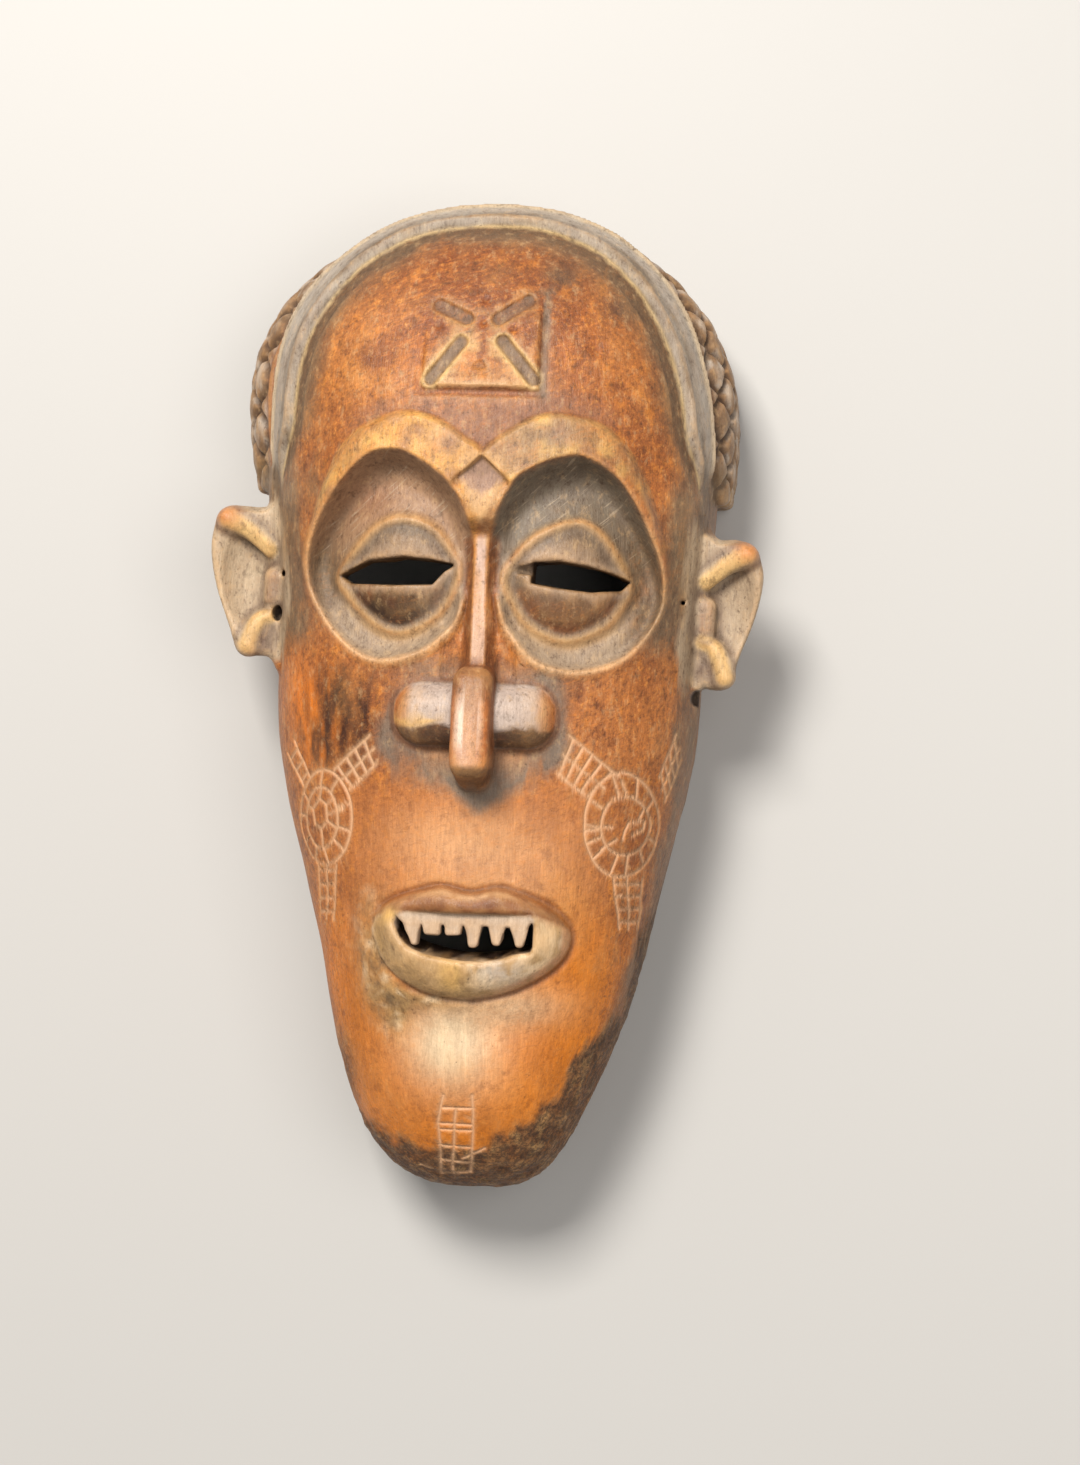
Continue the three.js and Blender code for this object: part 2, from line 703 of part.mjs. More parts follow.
const mesh = new THREE.Mesh(geometryOf(carvedMask()), patinatedWood);
mesh.name = "carved_mask";

const mask = new THREE.Group();
mask.name = "mask";
mask.add(mesh);

export default mask;
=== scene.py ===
# A carved wooden face mask lying on its back rim, on a plain floor under soft studio light.
# The wood is carved as one field: a signed height or distance from the surface at each point
# of a grid, negative in the wood. Each form of the face adds to it or cuts into it, as the
# carver did, and the surface is then drawn through the points where the field is zero.
# Forms are given in millimetres in the frame's axes: +X to the right of someone looking at
# the face, +Y to the crown and +Z out of the face. They become metres in the finished mesh.

import math

import bpy
import numpy as np
from mathutils import Matrix, Vector
from mathutils.bvhtree import BVHTree
from mathutils.kdtree import KDTree


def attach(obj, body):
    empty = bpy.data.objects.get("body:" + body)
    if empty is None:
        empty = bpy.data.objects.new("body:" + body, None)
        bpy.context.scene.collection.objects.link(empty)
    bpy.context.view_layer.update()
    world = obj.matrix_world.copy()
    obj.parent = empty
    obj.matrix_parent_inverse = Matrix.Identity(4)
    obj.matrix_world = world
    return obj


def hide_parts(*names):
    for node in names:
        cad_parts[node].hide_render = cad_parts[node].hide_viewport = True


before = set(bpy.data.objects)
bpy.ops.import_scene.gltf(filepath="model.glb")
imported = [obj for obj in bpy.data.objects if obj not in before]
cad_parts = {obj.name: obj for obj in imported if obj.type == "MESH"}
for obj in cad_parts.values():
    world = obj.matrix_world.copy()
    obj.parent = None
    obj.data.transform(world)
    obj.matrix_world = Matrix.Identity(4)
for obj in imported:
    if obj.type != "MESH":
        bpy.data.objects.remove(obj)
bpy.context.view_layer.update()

NODE = "carved_mask"
MM = 0.001
SEED = 41
# Random values along each side of the noise's lattice
LATTICE_SIZE = 32

# What is further away than this from an outline or a line isn't measured
FAR = 50.0

# Grid and mesh
STEP = 0.85
# Passes that part touching sheets of the surface, and how far in mm a turned corner then lies from it
SHEET_TURNS = 4
TURNED = 0.05
TRIANGLES = 150_000

# Head, as in the part's source
HEAD = {
    "half_width": 90,
    "widest_y": 80,
    "crown_y": 199,
    "chin_y": -200,
    "front": 75,
    "back": 150,
}
WIDEST_Z = 45
ROUNDNESS = 2.3
CROWN_POWER = 2.4
JAW_POWER = 1.35
JAW_END = 0.33
FACE_FALL = 0.4
CHIN_POWER = 10
CHIN_END = 0.43
# How far each side, carved by eye, swells from the even form: height, share and spread
SWELLS = {
    -1: [(158, 0.085, 42), (-22, 0.05, 36), (-103, -0.045, 30), (-190, 0.035, 26)],
    1: [(160, 0.015, 40), (-20, 0.027, 32), (-95, -0.025, 34), (-170, -0.095, 38)],
}
WALL = {"side": 11, "front": 19, "crown": 14, "chin": 16}

# Eye sockets, brows, lens-shaped lids and slits on the left and on the right, as outlines seen from
# the front. A slit keeps its knife-cut corners, so its edges are straight between them.
EYES = {
    -1: {
        "name": "left",
        "socket": [
            (-2.4, 62), (-10.5, 81.5), (-26, 93), (-36.5, 95.5), (-47, 92), (-60.5, 77),
            (-69.4, 58), (-69.5, 42), (-60, 25.5), (-47, 14.8), (-34, 12.6), (-17.7, 18.6), (-6, 33),
        ],
        "brow": [
            (0.8, 95.5), (-7, 100.5), (-17, 107), (-29, 110), (-40, 107.5), (-54.5, 98.5), (-65, 78),
            (-70.5, 56), (-71, 40), (-50, 30), (-12, 50), (7, 62), (7.5, 84),
        ],
        "lens": [
            (-58, 46.4), (-47.5, 60.3), (-39.3, 67.3), (-30.3, 69.6), (-19.5, 66.6), (-11, 57.5),
            (-7.4, 47.4), (-13, 33.5), (-23, 25.6), (-33, 23.2), (-43, 27.5), (-53.5, 37.8),
        ],
        "slit": [
            (-57.2, 46.2), (-51.8, 42.6), (-35, 42.6), (-18.5, 43.4), (-14, 48.6), (-10.4, 51), (-19, 52.6),
            (-30, 53.6), (-44, 52.2),
        ],
    },
    1: {
        "name": "right",
        "socket": [
            (4.2, 62), (12, 82.5), (21.6, 90), (31, 93.6), (40.4, 94.6), (54.4, 86), (65.6, 67.5),
            (71.6, 50), (70.4, 34), (58.6, 17.2), (44, 10.8), (30, 11), (18.5, 17), (8, 33),
        ],
        "brow": [
            (0.8, 95.5), (11, 103.8), (21.5, 109.3), (33, 110.2), (49.7, 105), (61, 91), (68.4, 72),
            (72.6, 54), (72.4, 38), (50, 30), (14, 50), (-6, 62), (-6.5, 84),
        ],
        "lens": [
            (9.4, 48.6), (20.8, 62.8), (35, 69.6), (43.6, 68), (51.2, 60.6), (59.3, 45),
            (55.7, 35.5), (49, 27.6), (34.7, 21.8), (20.7, 26.6), (12.7, 36.5),
        ],
        "slit": [
            (20.6, 44.8), (20.9, 52.8), (31, 53.6), (42, 52), (52, 49.6), (59, 47), (55, 42.8),
            (44, 41.8), (32, 43),
        ],
    },
}
BROW_HEIGHT = 4.2
SOCKET_RIM = 2.4
SOCKET_DEPTH = {"low": 6, "high": 12.5}
NOTCH = {"x": 0.6, "apex_y": 93.3, "corner_y": 84.3, "tip_y": 72, "half_width": 9.8, "depth": 3.4}
# Where the cut of the right eye starts from the surface before it goes right through
SLIT_CORNER = [(10.6, 49.2), (24, 50.4)]
EYE = {"y": 46, "radius": 30, "below": 3.5, "fall": 7}

# Nose
RIDGE = {"x": 0.9, "top_y": 61, "foot_y": 6, "half_width": 2.3, "top": -2.5, "foot": 5}
BAR = {"x": 0.2, "top_y": 10.5, "foot_y": -30.8, "half_width": 8.0, "top_z": 127, "foot_z": 134}
WINGS = {"x": -0.1, "y": -7.6, "reach": 31.6, "radius": 12.3, "flat": 1.4, "z": 109.5, "droop": 4}

# Mouth
LIPS_OUTLINE = [
    (-38.2, -91), (-35, -84.4), (-28, -79.8), (-18, -76.6), (-10.2, -75.2), (0.4, -77.2), (11, -75.2),
    (20.5, -77.4), (30.2, -81.6), (37, -87), (39.4, -93), (37.8, -100.3), (31, -107.8), (19, -114.5),
    (5, -118.6), (-6, -118.9), (-18.6, -116.5), (-29, -110.8), (-35.7, -102.5),
]
OPENING_OUTLINE = [
    (-29.5, -90.2), (-26.3, -96.2), (-21.3, -99.8), (-14.6, -101.8), (-5.7, -103.3), (1.1, -103.6),
    (10.7, -103), (18.4, -100.6), (24.6, -99.4),
]
GUM_LINE_Y = -85.3
OPENING_RIGHT = 25.6
TEETH = [
    {"left": -26.8, "right": -19, "tip": -98.4, "sharp": 0.6, "lean": 1.7},
    {"left": -18.4, "right": -10.4, "tip": -94.1, "sharp": 0.1, "lean": 0},
    {"left": -9.9, "right": -2.2, "tip": -94, "sharp": 0.12, "lean": 0},
    {"left": -1.6, "right": 5.6, "tip": -98.2, "sharp": 0.46, "lean": 0},
    {"left": 7.2, "right": 15, "tip": -97.4, "sharp": 0.5, "lean": 0},
    {"left": 16, "right": 24.2, "tip": -97.8, "sharp": 0.5, "lean": 0},
]
TEETH_Z = (102, 109)
# Levels between which the mouth and the slits are cut
THROUGH_Z = (60, 139)
GUM_HEIGHT = 4.6

# Forehead cross
CROSS = {"x": -1.3, "left": -23.9, "right": 20.8, "low": 120, "high": 156.8}
CROSS_PITS = [(-19, 144), (10.5, 143.2), (-1.3, 145.5), (-1.2, 155)]
CROSS_BARS = [
    [(-21, 122.8), (-9.8, 137.8)], [(6.6, 138.3), (19.3, 123.2)],
    [(4.4, 147.3), (15.5, 155)], [(-19, 152.5), (-8.1, 147.3)],
]

# Patches of the face, as outlines seen from the front: the dust about the nose and the singed left cheek
DUSTY = [
    (-37.6, -8), (-39.3, -20.7), (-34.5, -26.7), (-27.2, -30), (-18.9, -33.2), (-11.7, -37.4), (-3.5, -43.3),
    (2.6, -46.5), (10.6, -41.9), (16.6, -37.3), (22.7, -33.6), (29.6, -29.8), (35.4, -24.4), (37.1, -14.6),
    (36, -2.3), (34.9, 4.7), (29.6, 11.5), (20, 9), (0, 5), (-20, 9), (-33, 4),
]
SINGED = [
    (-74.2, -11), (-67.5, -27.8), (-49.6, -27.1), (-42.3, -18.9), (-40.7, -8.2), (-42, 2.4), (-52.2, 7.1),
    (-64.1, 10.4), (-71.8, 1.6),
]
# Ovals of the rough, rubbed ground to the left of the mouth and below it: middle and half-axes
RUBBED = [(-40, -97, 7, 17), (-35, -113, 8, 13), (-30, -127, 7, 9), (-16, -120.5, 16, 4)]
# Upper edge of the dark, worn ground of the chin and the right side of the jaw
WORN_EDGE = [
    (-62, -158), (-42, -171.4), (-32, -177), (-14, -179), (3.5, -180), (13.8, -176), (22.3, -168.6),
    (37, -157), (39.5, -147), (47.5, -137), (59.8, -120), (66.4, -92), (73.4, -73),
]

# Inner edge of the greyed side of the face on the right, worn grey and partly darkened as painted shade:
# heights and distances from the middle
GREYED_AND_SHADED_SIDE = [
    (-146.5, 41), (-134.6, 50), (-122, 55.4), (-108.3, 59.4), (-91.4, 64.2), (-64, 69.8), (-36.7, 75.2),
    (0, 78),
]

# Scars on the cheeks: rings, the angles of the spokes between them, and ladders, each given
# by the ends of its two outer rails, then its numbers of rails and rungs
CHEEKS = {
    -1: {
        "outer": ((-60.8, -50), (12, 19)),
        "inner": ((-62.4, -50.4), (7.1, 12.5)),
        "spokes": [20, 58, 95, 150, 178, 215, 248, 280, 318, 345],
        "hook": [
            (-65.2, -53), (-66.4, -47), (-63.6, -42.6), (-60.4, -44.6), (-59.8, -51.4), (-62.6, -54.6),
            (-65.2, -53),
        ],
        "strokes": [
            [(-66.4, -47), (-69, -45.6)], [(-63.6, -42.6), (-62.6, -38.2)], [(-60.4, -44.6), (-56.6, -42.4)],
            [(-59.8, -51.4), (-55.4, -54.4)], [(-62.6, -54.6), (-62, -62.4)], [(-59.9, -48.6), (-53, -46.4)],
        ],
        "ladders": [
            ([(-56.8, -30.7), (-41.7, -16.6)], [(-49.9, -38.5), (-38.3, -27)], 3, 4),
            ([(-64.2, -69.5), (-63.7, -92)], [(-55.3, -68.8), (-57, -91.1)], 3, 4),
            ([(-71.2, -37.6), (-79, -25)], [(-68, -34), (-75.5, -20)], 2, 3),
        ],
    },
    1: {
        "outer": ((57.7, -48.9), (14.2, 20.8)),
        "inner": ((59.3, -49.2), (9.2, 11.8)),
        "spokes": [31, 65, 105, 151, 187, 202, 221, 255, 279, 309, 340],
        "hook": [(58.6, -54.6), (59.1, -51.2), (60.2, -47.9), (66.2, -47.2), (65.9, -50.4)],
        "strokes": [
            [(43.8, -49.2), (54.4, -50.2)], [(50.4, -58.2), (56.2, -54.6)], [(62, -52.8), (65.9, -50.4)],
            [(57.6, -31.8), (59.4, -36.6)], [(66.4, -42.4), (63.6, -47.4)],
        ],
        "ladders": [
            ([(36.7, -14), (56.2, -29.4)], [(32.8, -28.8), (45.7, -39.5)], 3, 5),
            ([(71.6, -29.6), (77.7, -12.6)], [(73.8, -39.6), (80, -22.6)], 3, 4),
            ([(55.3, -70.4), (58, -90.6)], [(65.9, -70.5), (64.7, -90.9)], 3, 4),
        ],
    },
}
# Ladder on the chin
CHIN_LINES = [
    [(-9.4, -158.4), (-11.7, -170.4), (-11.3, -180.6), (-11.4, -192.8)],
    [(-4.2, -164), (-4.9, -171), (-5.6, -180.2), (-6.6, -192.2)],
    [(2.3, -157.8), (2.9, -165.7), (2.1, -179.8), (0.3, -191.2)],
    [(-9.4, -163.8), (2.9, -163.2)], [(-11.7, -170.4), (2.2, -170.2)], [(-11.7, -172.9), (2, -172.7)],
    [(-11.6, -179.6), (1.9, -179.9)], [(-11.3, -186.1), (1.3, -186.7)], [(-11.4, -192.8), (0.4, -190.8)],
    [(-2, -184.7), (6.8, -179.9)], [(-19.5, -189), (-15.1, -190.4)],
]
# Middle, size and depth of small dents, and the place and both ends of the cracks in the lower lip
DENTS = [(42.6, 137, 2.2, 0.9), (66, 114, 1.6, 0.7), (-33, -101, 5, 1.2), (36, 70, 1.2, 0.5)]
CRACKS = [(-4, -106, -117), (1, -105, -112), (5.5, -107, -119), (9, -106, -113)]
# The knife's line in mm: its depth and width, the lip beside it, its wander, and the longest edge that
# the mesh keeps along it after some passes of splitting
SCAR = {"depth": 0.55, "width": 0.55, "lip": 0.16, "wander": 0.35, "finest": 0.56, "passes": 3}

# Headband and hair
BAND = {"low_z": 69.5, "high_z": 82, "wider": 3.5, "raise": 2.6, "end_y": 83}
HAIR = {
    "end_y": 81, "top_z": 69, "rim": 3, "flat_top_z": 42, "tuck": 12.5, "middle_y": 105, "mean_radius": 97,
}
# Half-axes of the hair's curve above and below its widest place, on the left and on the right
HAIR_SIDES = {
    -1: {"half_width": 104, "y": 122, "up": 78, "down": 134},
    1: {"half_width": 98, "y": 114, "up": 86, "down": 154},
}
LOZENGE = {"along": 21, "down": 15, "depth": 2.8}

# Ears, seen from the front, with x measured outwards from the mask's middle line.
# The root is how far in, at each height, the ear's pale colour reaches over the side of the head.
EARS = {
    -1: {
        "outline": [
            (84, 92), (90.3, 92), (91.2, 84), (91.2, 76), (94.5, 74.2), (101, 74.6), (107.5, 74.4),
            (111.8, 70), (114, 58), (111.5, 42), (106, 26), (101.5, 15.8), (90, 14), (84, 15),
        ],
        "helix": [(106.5, 68.5), (99, 65), (90, 57)],
        "lobe": [(98, 18), (94, 28), (88, 31)],
        "flap": [(87.5, 46), (88.5, 38)],
        "bowl": (99, 46),
        "root": [(15, 82), (30, 80), (40, 77.8), (46, 80.3), (65, 82), (75, 85)],
    },
    1: {
        "outline": [
            (84, 65.2), (93, 66), (100, 66.4), (105.5, 64.5), (108.6, 59), (110, 51), (108, 38),
            (102, 20), (97, 7), (88, 6.5), (84, 9),
        ],
        "helix": [(103.5, 60), (96, 56), (88, 49)],
        "lobe": [(96, 11), (92, 22), (87, 25)],
        "flap": [(87.5, 39), (88, 30)],
        "bowl": (97.5, 39),
        "root": [(6, 84), (11, 78.5), (20, 75), (26, 77.5), (38, 79), (54, 78.3), (66, 80)],
    },
}
EAR_Z = {"back": 57, "front": 69, "lean": 0.12}
# The ear's round bars: their levels and radii at both ends, how softly they join, their tint and its reach
EAR_BARS = [
    ("helix", (71, 69), (4.7, 2.6), 3, "ear_cream", 4.4),
    ("lobe", (67, 67), (4.6, 2.6), 2, "ear_cream", 4.2),
    ("flap", (67, 67), (4.4, 3.6), 2, "lens_pale", 4),
]

# Blind holes for cords: middle, half-axes and the level of their floor
CORD_HOLES = [
    {"x": -86, "y": 31.5, "radii": (1.9, 3.0), "floor": 61.5},
    {"x": 85.2, "y": 2.3, "radii": (2.6, 3.2), "floor": 52},
    {"x": -83, "y": 47.5, "radii": (1.1, 1.3), "floor": 62},
    {"x": 78.8, "y": 40, "radii": (0.9, 0.9), "floor": 62},
]


# Small helpers for shapes

def smooth(low, high, value):
    # Goes from 0 at low to 1 at high with no corners; low may lie above high.
    t = np.clip((value - low) / (high - low), 0, 1)
    return t * t * (3 - 2 * t)


def blend_max(a, b, width):
    h = np.maximum(width - np.abs(a - b), 0) / width
    return np.maximum(a, b) + h * h * width / 4


def blend_min(a, b, width):
    return -blend_max(-a, -b, width)


def rounded(parts, rounding):
    # Signed distance from the solid that all parts hold, with its edges rounded
    outward = np.sqrt(sum(np.maximum(p + rounding, 0) ** 2 for p in parts))
    inward = np.minimum(np.maximum.reduce(np.broadcast_arrays(*parts)) + rounding, 0)
    return outward + inward - rounding


def hill(distance, width):
    return np.exp(-((distance / width) ** 2))


def spot(x, y, x0, y0, rx, ry):
    # 1 at the middle of a soft oval, falling to 0 outside it
    return np.exp(-(((x - x0) / rx) ** 2) - ((y - y0) / ry) ** 2)


def smooth_curve(points, is_closed, steps=6):
    # Runs a smooth curve through the points, with steps straight pieces between each two.
    points = np.array(points, float)
    if is_closed:
        padded = np.vstack([points[-1], points, points[0], points[1]])
    else:
        padded = np.vstack([2 * points[0] - points[1], points, 2 * points[-1] - points[-2]])
    t = np.arange(steps)[:, None] / steps
    pieces = []
    for a, b, c, d in zip(padded, padded[1:], padded[2:], padded[3:]):
        pieces.append(
            0.5 * (2 * b + (c - a) * t + (2 * a - 5 * b + 4 * c - d) * t**2 + (3 * b - a - 3 * c + d) * t**3)
        )
    curve = np.vstack(pieces)
    return curve if is_closed else np.vstack([curve, points[-1]])


def line_distance(x, y, points):
    # Distance in the x, y plane from the nearest of a run of straight pieces
    nearest = np.full(np.broadcast(x, y).shape, 1e9, np.float32)
    for (ax, ay), (bx, by) in zip(points[:-1], points[1:]):
        dx, dy = bx - ax, by - ay
        t = np.clip(((x - ax) * dx + (y - ay) * dy) / (dx * dx + dy * dy + 1e-9), 0, 1)
        nearest = np.minimum(nearest, (x - ax - t * dx) ** 2 + (y - ay - t * dy) ** 2)
    return np.sqrt(nearest)


def outline_distance(x, y, outline):
    # Signed distance from a closed outline in the x, y plane, negative inside it
    loop = np.vstack([outline, outline[:1]])
    inside = np.zeros(np.broadcast(x, y).shape, bool)
    for (ax, ay), (bx, by) in zip(loop[:-1], loop[1:]):
        if ay == by:
            continue
        crosses = (ay > y) != (by > y)
        inside ^= crosses & (x < ax + (y - ay) * (bx - ax) / (by - ay))
    distance = line_distance(x, y, loop)
    return np.where(inside, -distance, distance)


def closed(points):
    return smooth_curve(points, True)


def around(points, margin):
    points = np.array(points, float)
    return (*(points.min(0) - margin), *(points.max(0) + margin))


# Head, as in the part's source

def head_at(y, head):
    t_up = np.clip((y - head["widest_y"]) / (head["crown_y"] - head["widest_y"]), 0, 1)
    up = (1 - t_up**CROWN_POWER) ** (1 / CROWN_POWER)
    t = np.clip((head["widest_y"] - y) / (head["widest_y"] - head["chin_y"]), 0, 1)
    blunt = (1 - t**CHIN_POWER) ** CHIN_END
    above = y >= head["widest_y"]
    half = np.where(above, head["half_width"] * up, head["half_width"] * (1 - t**JAW_POWER) ** JAW_END)
    front = np.where(above, head["front"] * up, head["front"] * (1 - FACE_FALL * t) * blunt)
    back = np.where(above, head["back"] * up, head["back"] * blunt)
    return half, front, back


def swell(x, y):
    # The share of the even half-width that the head has at height y on the side where x lies
    left, right = [1 + sum(a * np.exp(-(((y - m) / w) ** 2)) for m, a, w in SWELLS[side]) for side in (-1, 1)]
    return np.where(x < 0, left, right)


def crown_distance(x, y, z, head):
    # Signed distance from the head's body above its widest place
    depth = np.where(z > WIDEST_Z, head["front"], head["back"])
    a = np.abs(x) / head["half_width"]
    b = np.abs(z - WIDEST_Z) / depth
    length = head["crown_y"] - head["widest_y"]
    t = np.maximum(y - head["widest_y"], 0) / length
    an = a ** (ROUNDNESS - 1)
    bn = b ** (ROUNDNESS - 1)
    section = np.maximum(an * a + bn * b, 1e-5)
    share = (section ** (CROWN_POWER / ROUNDNESS) + t**CROWN_POWER) ** (1 / CROWN_POWER)
    inner = section ** (CROWN_POWER / ROUNDNESS - 1)
    steep = np.sqrt(
        (inner * an / head["half_width"]) ** 2
        + (inner * bn / depth) ** 2
        + (t ** (CROWN_POWER - 1) / length) ** 2
    )
    return (share - 1) * share ** (CROWN_POWER - 1) / np.maximum(steep, 1e-4)


def jaw_distance(x, y, z, head):
    # Signed distance from the head's body below its widest place
    half, front, back = [np.maximum(v, 0.6) for v in head_at(y, head)]
    ahead = z > WIDEST_Z
    depth = np.where(ahead, front, back)
    step = 0.25
    near = [np.maximum(v, 0.6) for v in head_at(y + step, head)]
    half_slope = (near[0] - half) / step / half
    depth_slope = np.where(ahead, (near[1] - front) / step / front, (near[2] - back) / step / back)
    a = np.abs(x) / half
    b = np.abs(z - WIDEST_Z) / depth
    an = a**ROUNDNESS
    bn = b**ROUNDNESS
    total = np.maximum(an + bn, 1e-4)
    share = total ** (1 / ROUNDNESS)
    steep = np.sqrt(
        (an / np.maximum(a, 0.02) / half) ** 2
        + (bn / np.maximum(b, 0.02) / depth) ** 2
        + (an * half_slope + bn * depth_slope) ** 2
    )
    distance = (share - 1) * total / share / np.maximum(steep, 1e-4)
    return np.maximum(distance, head["chin_y"] - y)


def head_distance(x, y, z, head):
    # Signed distance from the head's rounded body, true near its surface
    split = int(np.searchsorted(y.ravel(), head["widest_y"]))
    x = x / swell(x, y)
    jaw = jaw_distance(x[:, :split], y[:, :split], z, head)
    crown = crown_distance(x[:, split:], y[:, split:], z, head)
    return np.concatenate([jaw, crown], axis=1).astype(np.float32)


def inside_head():
    # The hollow for the wearer's head
    return {
        **HEAD,
        "half_width": HEAD["half_width"] - WALL["side"],
        "crown_y": HEAD["crown_y"] - WALL["crown"],
        "chin_y": HEAD["chin_y"] + WALL["chin"],
        "front": HEAD["front"] - WALL["front"],
    }


# The grid

low = np.array([-118.0, -204.0, -3 * STEP])
high = np.array([116.0, 205.0, 139.0])
xs, ys, zs = [np.arange(low[i], high[i], STEP, dtype=np.float32) for i in range(3)]


def window(box):
    # The part of the x and y grid in a box, as slices and as flat arrays of coordinates
    x0, y0, x1, y1 = box
    i = slice(*np.searchsorted(xs, (x0, x1)))
    j = slice(*np.searchsorted(ys, (y0, y1)))
    return i, j, xs[i][:, None], ys[j][None, :]


def room(box, z0, z1):
    i, j, x, y = window(box)
    k = slice(*np.searchsorted(zs, (z0, z1)))
    return (i, j, k), x[:, :, None], y[:, :, None], zs[k][None, None, :]


# Relief on the front of the head, as heights over its plain surface

def socket_relief(relief, side):
    socket, brow, lens = [closed(EYES[side][part]) for part in ("socket", "brow", "lens")]
    i, j, x, y = window(around(np.vstack([socket, brow]), 12))
    mine = smooth(1 - 2.5 * side, 1 + 2.5 * side, x)
    s = outline_distance(x, y, socket)
    b = np.minimum(outline_distance(x, y, brow), s - SOCKET_RIM)
    upper = smooth(24, 80, y)
    brow_height = 0.9 + (BROW_HEIGHT - 0.9) * upper
    roll = smooth(1.2, -2.2, b) * (0.72 + 0.28 * smooth(-13, -1, -s))
    height = brow_height * roll
    depth = SOCKET_DEPTH["low"] + (SOCKET_DEPTH["high"] - SOCKET_DEPTH["low"]) * upper
    wall = 2.6 + 1.6 * upper
    inwards = np.maximum(-s - 0.4, 0)
    sunk = 1 - np.exp(-((inwards / wall) ** 1.3))
    height = height * (1 - sunk) - depth * sunk
    eye_x = EYE["radius"] * 1.15 * side
    reach = np.hypot((x - eye_x) / EYE["radius"], (y - EYE["y"]) / EYE["radius"])
    eye = -EYE["below"] - EYE["fall"] * reach**2.4
    inside = smooth(1.0, -2.0, s)
    height = np.where(inside > 0, blend_max(height, eye - 20 * (1 - inside), 3), height)
    e = outline_distance(x, y, lens)
    rim = 1.25 * hill(e + 0.9, 2.0) - 0.45 * hill(e - 2.6, 1.9)
    lids = 1.1 * smooth(-3, -9, e)
    fold = 1.1 * hill(e - 6.5, 3.6) * smooth(52, 40, y)
    height = height + (rim + lids + fold) * inside
    height = height + 0.35 * hill(s - 0.4, 0.9) * smooth(40, 70, y)
    old = relief[i, j]
    relief[i, j] = np.where(mine > 0.5, np.where(np.maximum(-b, -s) > -1.2, height, old), old)


def notch_relief(relief):
    x0, tip = NOTCH["x"], NOTCH["tip_y"]
    wide = NOTCH["half_width"]
    i, j, x, y = window((x0 - wide - 4, tip - 12, x0 + wide + 4, NOTCH["apex_y"] + 4))
    dx = np.abs(x - x0)
    edge = (y - NOTCH["corner_y"]) - (wide - dx) * (NOTCH["apex_y"] - NOTCH["corner_y"]) / wide
    sunk = NOTCH["depth"] * smooth(tip, NOTCH["apex_y"] - 1, y)
    relief[i, j] -= smooth(0.3, -0.5, edge * 0.75) * sunk * smooth(wide + 2.5, wide, dx)


def ridge_relief(relief):
    i, j, x, y = window((-14, RIDGE["foot_y"] - 4, 16, RIDGE["top_y"] + 14))
    along = np.clip((RIDGE["top_y"] - y) / (RIDGE["top_y"] - RIDGE["foot_y"]), 0, 1)
    crest = RIDGE["top"] + (RIDGE["foot"] - RIDGE["top"]) * along**1.3
    aside = np.maximum(np.abs(x - RIDGE["x"]) - RIDGE["half_width"] * (1 + 0.25 * along), 0)
    ridge = crest - 1.7 * aside
    past = np.maximum(y - RIDGE["top_y"], 0)
    ridge = ridge - 0.9 * past
    trough = -3.5 * hill(np.abs(x - RIDGE["x"]) - 9, 5) * smooth(2, 12, y) * smooth(40, 26, y)
    between = smooth(9, 4, np.abs(x - RIDGE["x"])) * smooth(70, 62, y) * smooth(18, 30, y)
    ground = relief[i, j] + trough - 7 * between
    relief[i, j] = blend_max(ground, ridge, 2)


def mouth_relief(relief):
    i, j, x, y = window((-110, -190, 110, 0))
    relief[i, j] += 5.5 * spot(x, y, 0, -95, 44, 30) - 2.2 * spot(x, y, 0, -131, 34, 9)
    outline = closed(LIPS_OUTLINE)
    i, j, x, y = window(around(outline, 24))
    m = outline_distance(x, y, outline)
    lower = smooth(-86, -96, y)
    height = 6 + 1.6 * lower
    width = 6 + 4.5 * lower
    t = np.clip(-m / width, 0, 1)
    lip = np.where(m < 0, height * np.sqrt(1 - (1 - t) ** 2), 0)
    beside = 3.4 * spot(x, y, -39, -99, 8, 13) + 2.6 * spot(x, y, -31, -116, 9, 7)
    groove = -1.0 * hill(m - 1.0, 1.1) * smooth(2.5, 0.5, beside)
    relief[i, j] += lip + beside * smooth(6, 1, lip) + groove


def chin_relief(relief):
    i, j, x, y = window((-110, -204, 110, -80))
    relief[i, j] += 3.2 * spot(x, y, 0, -160, 36, 22)


def outside_cross(x, y):
    # How far a place lies outside the square of the forehead's cross, negative inside it
    c = CROSS
    return np.maximum(np.maximum(c["left"] - x, x - c["right"]), np.maximum(c["low"] - y, y - c["high"]))


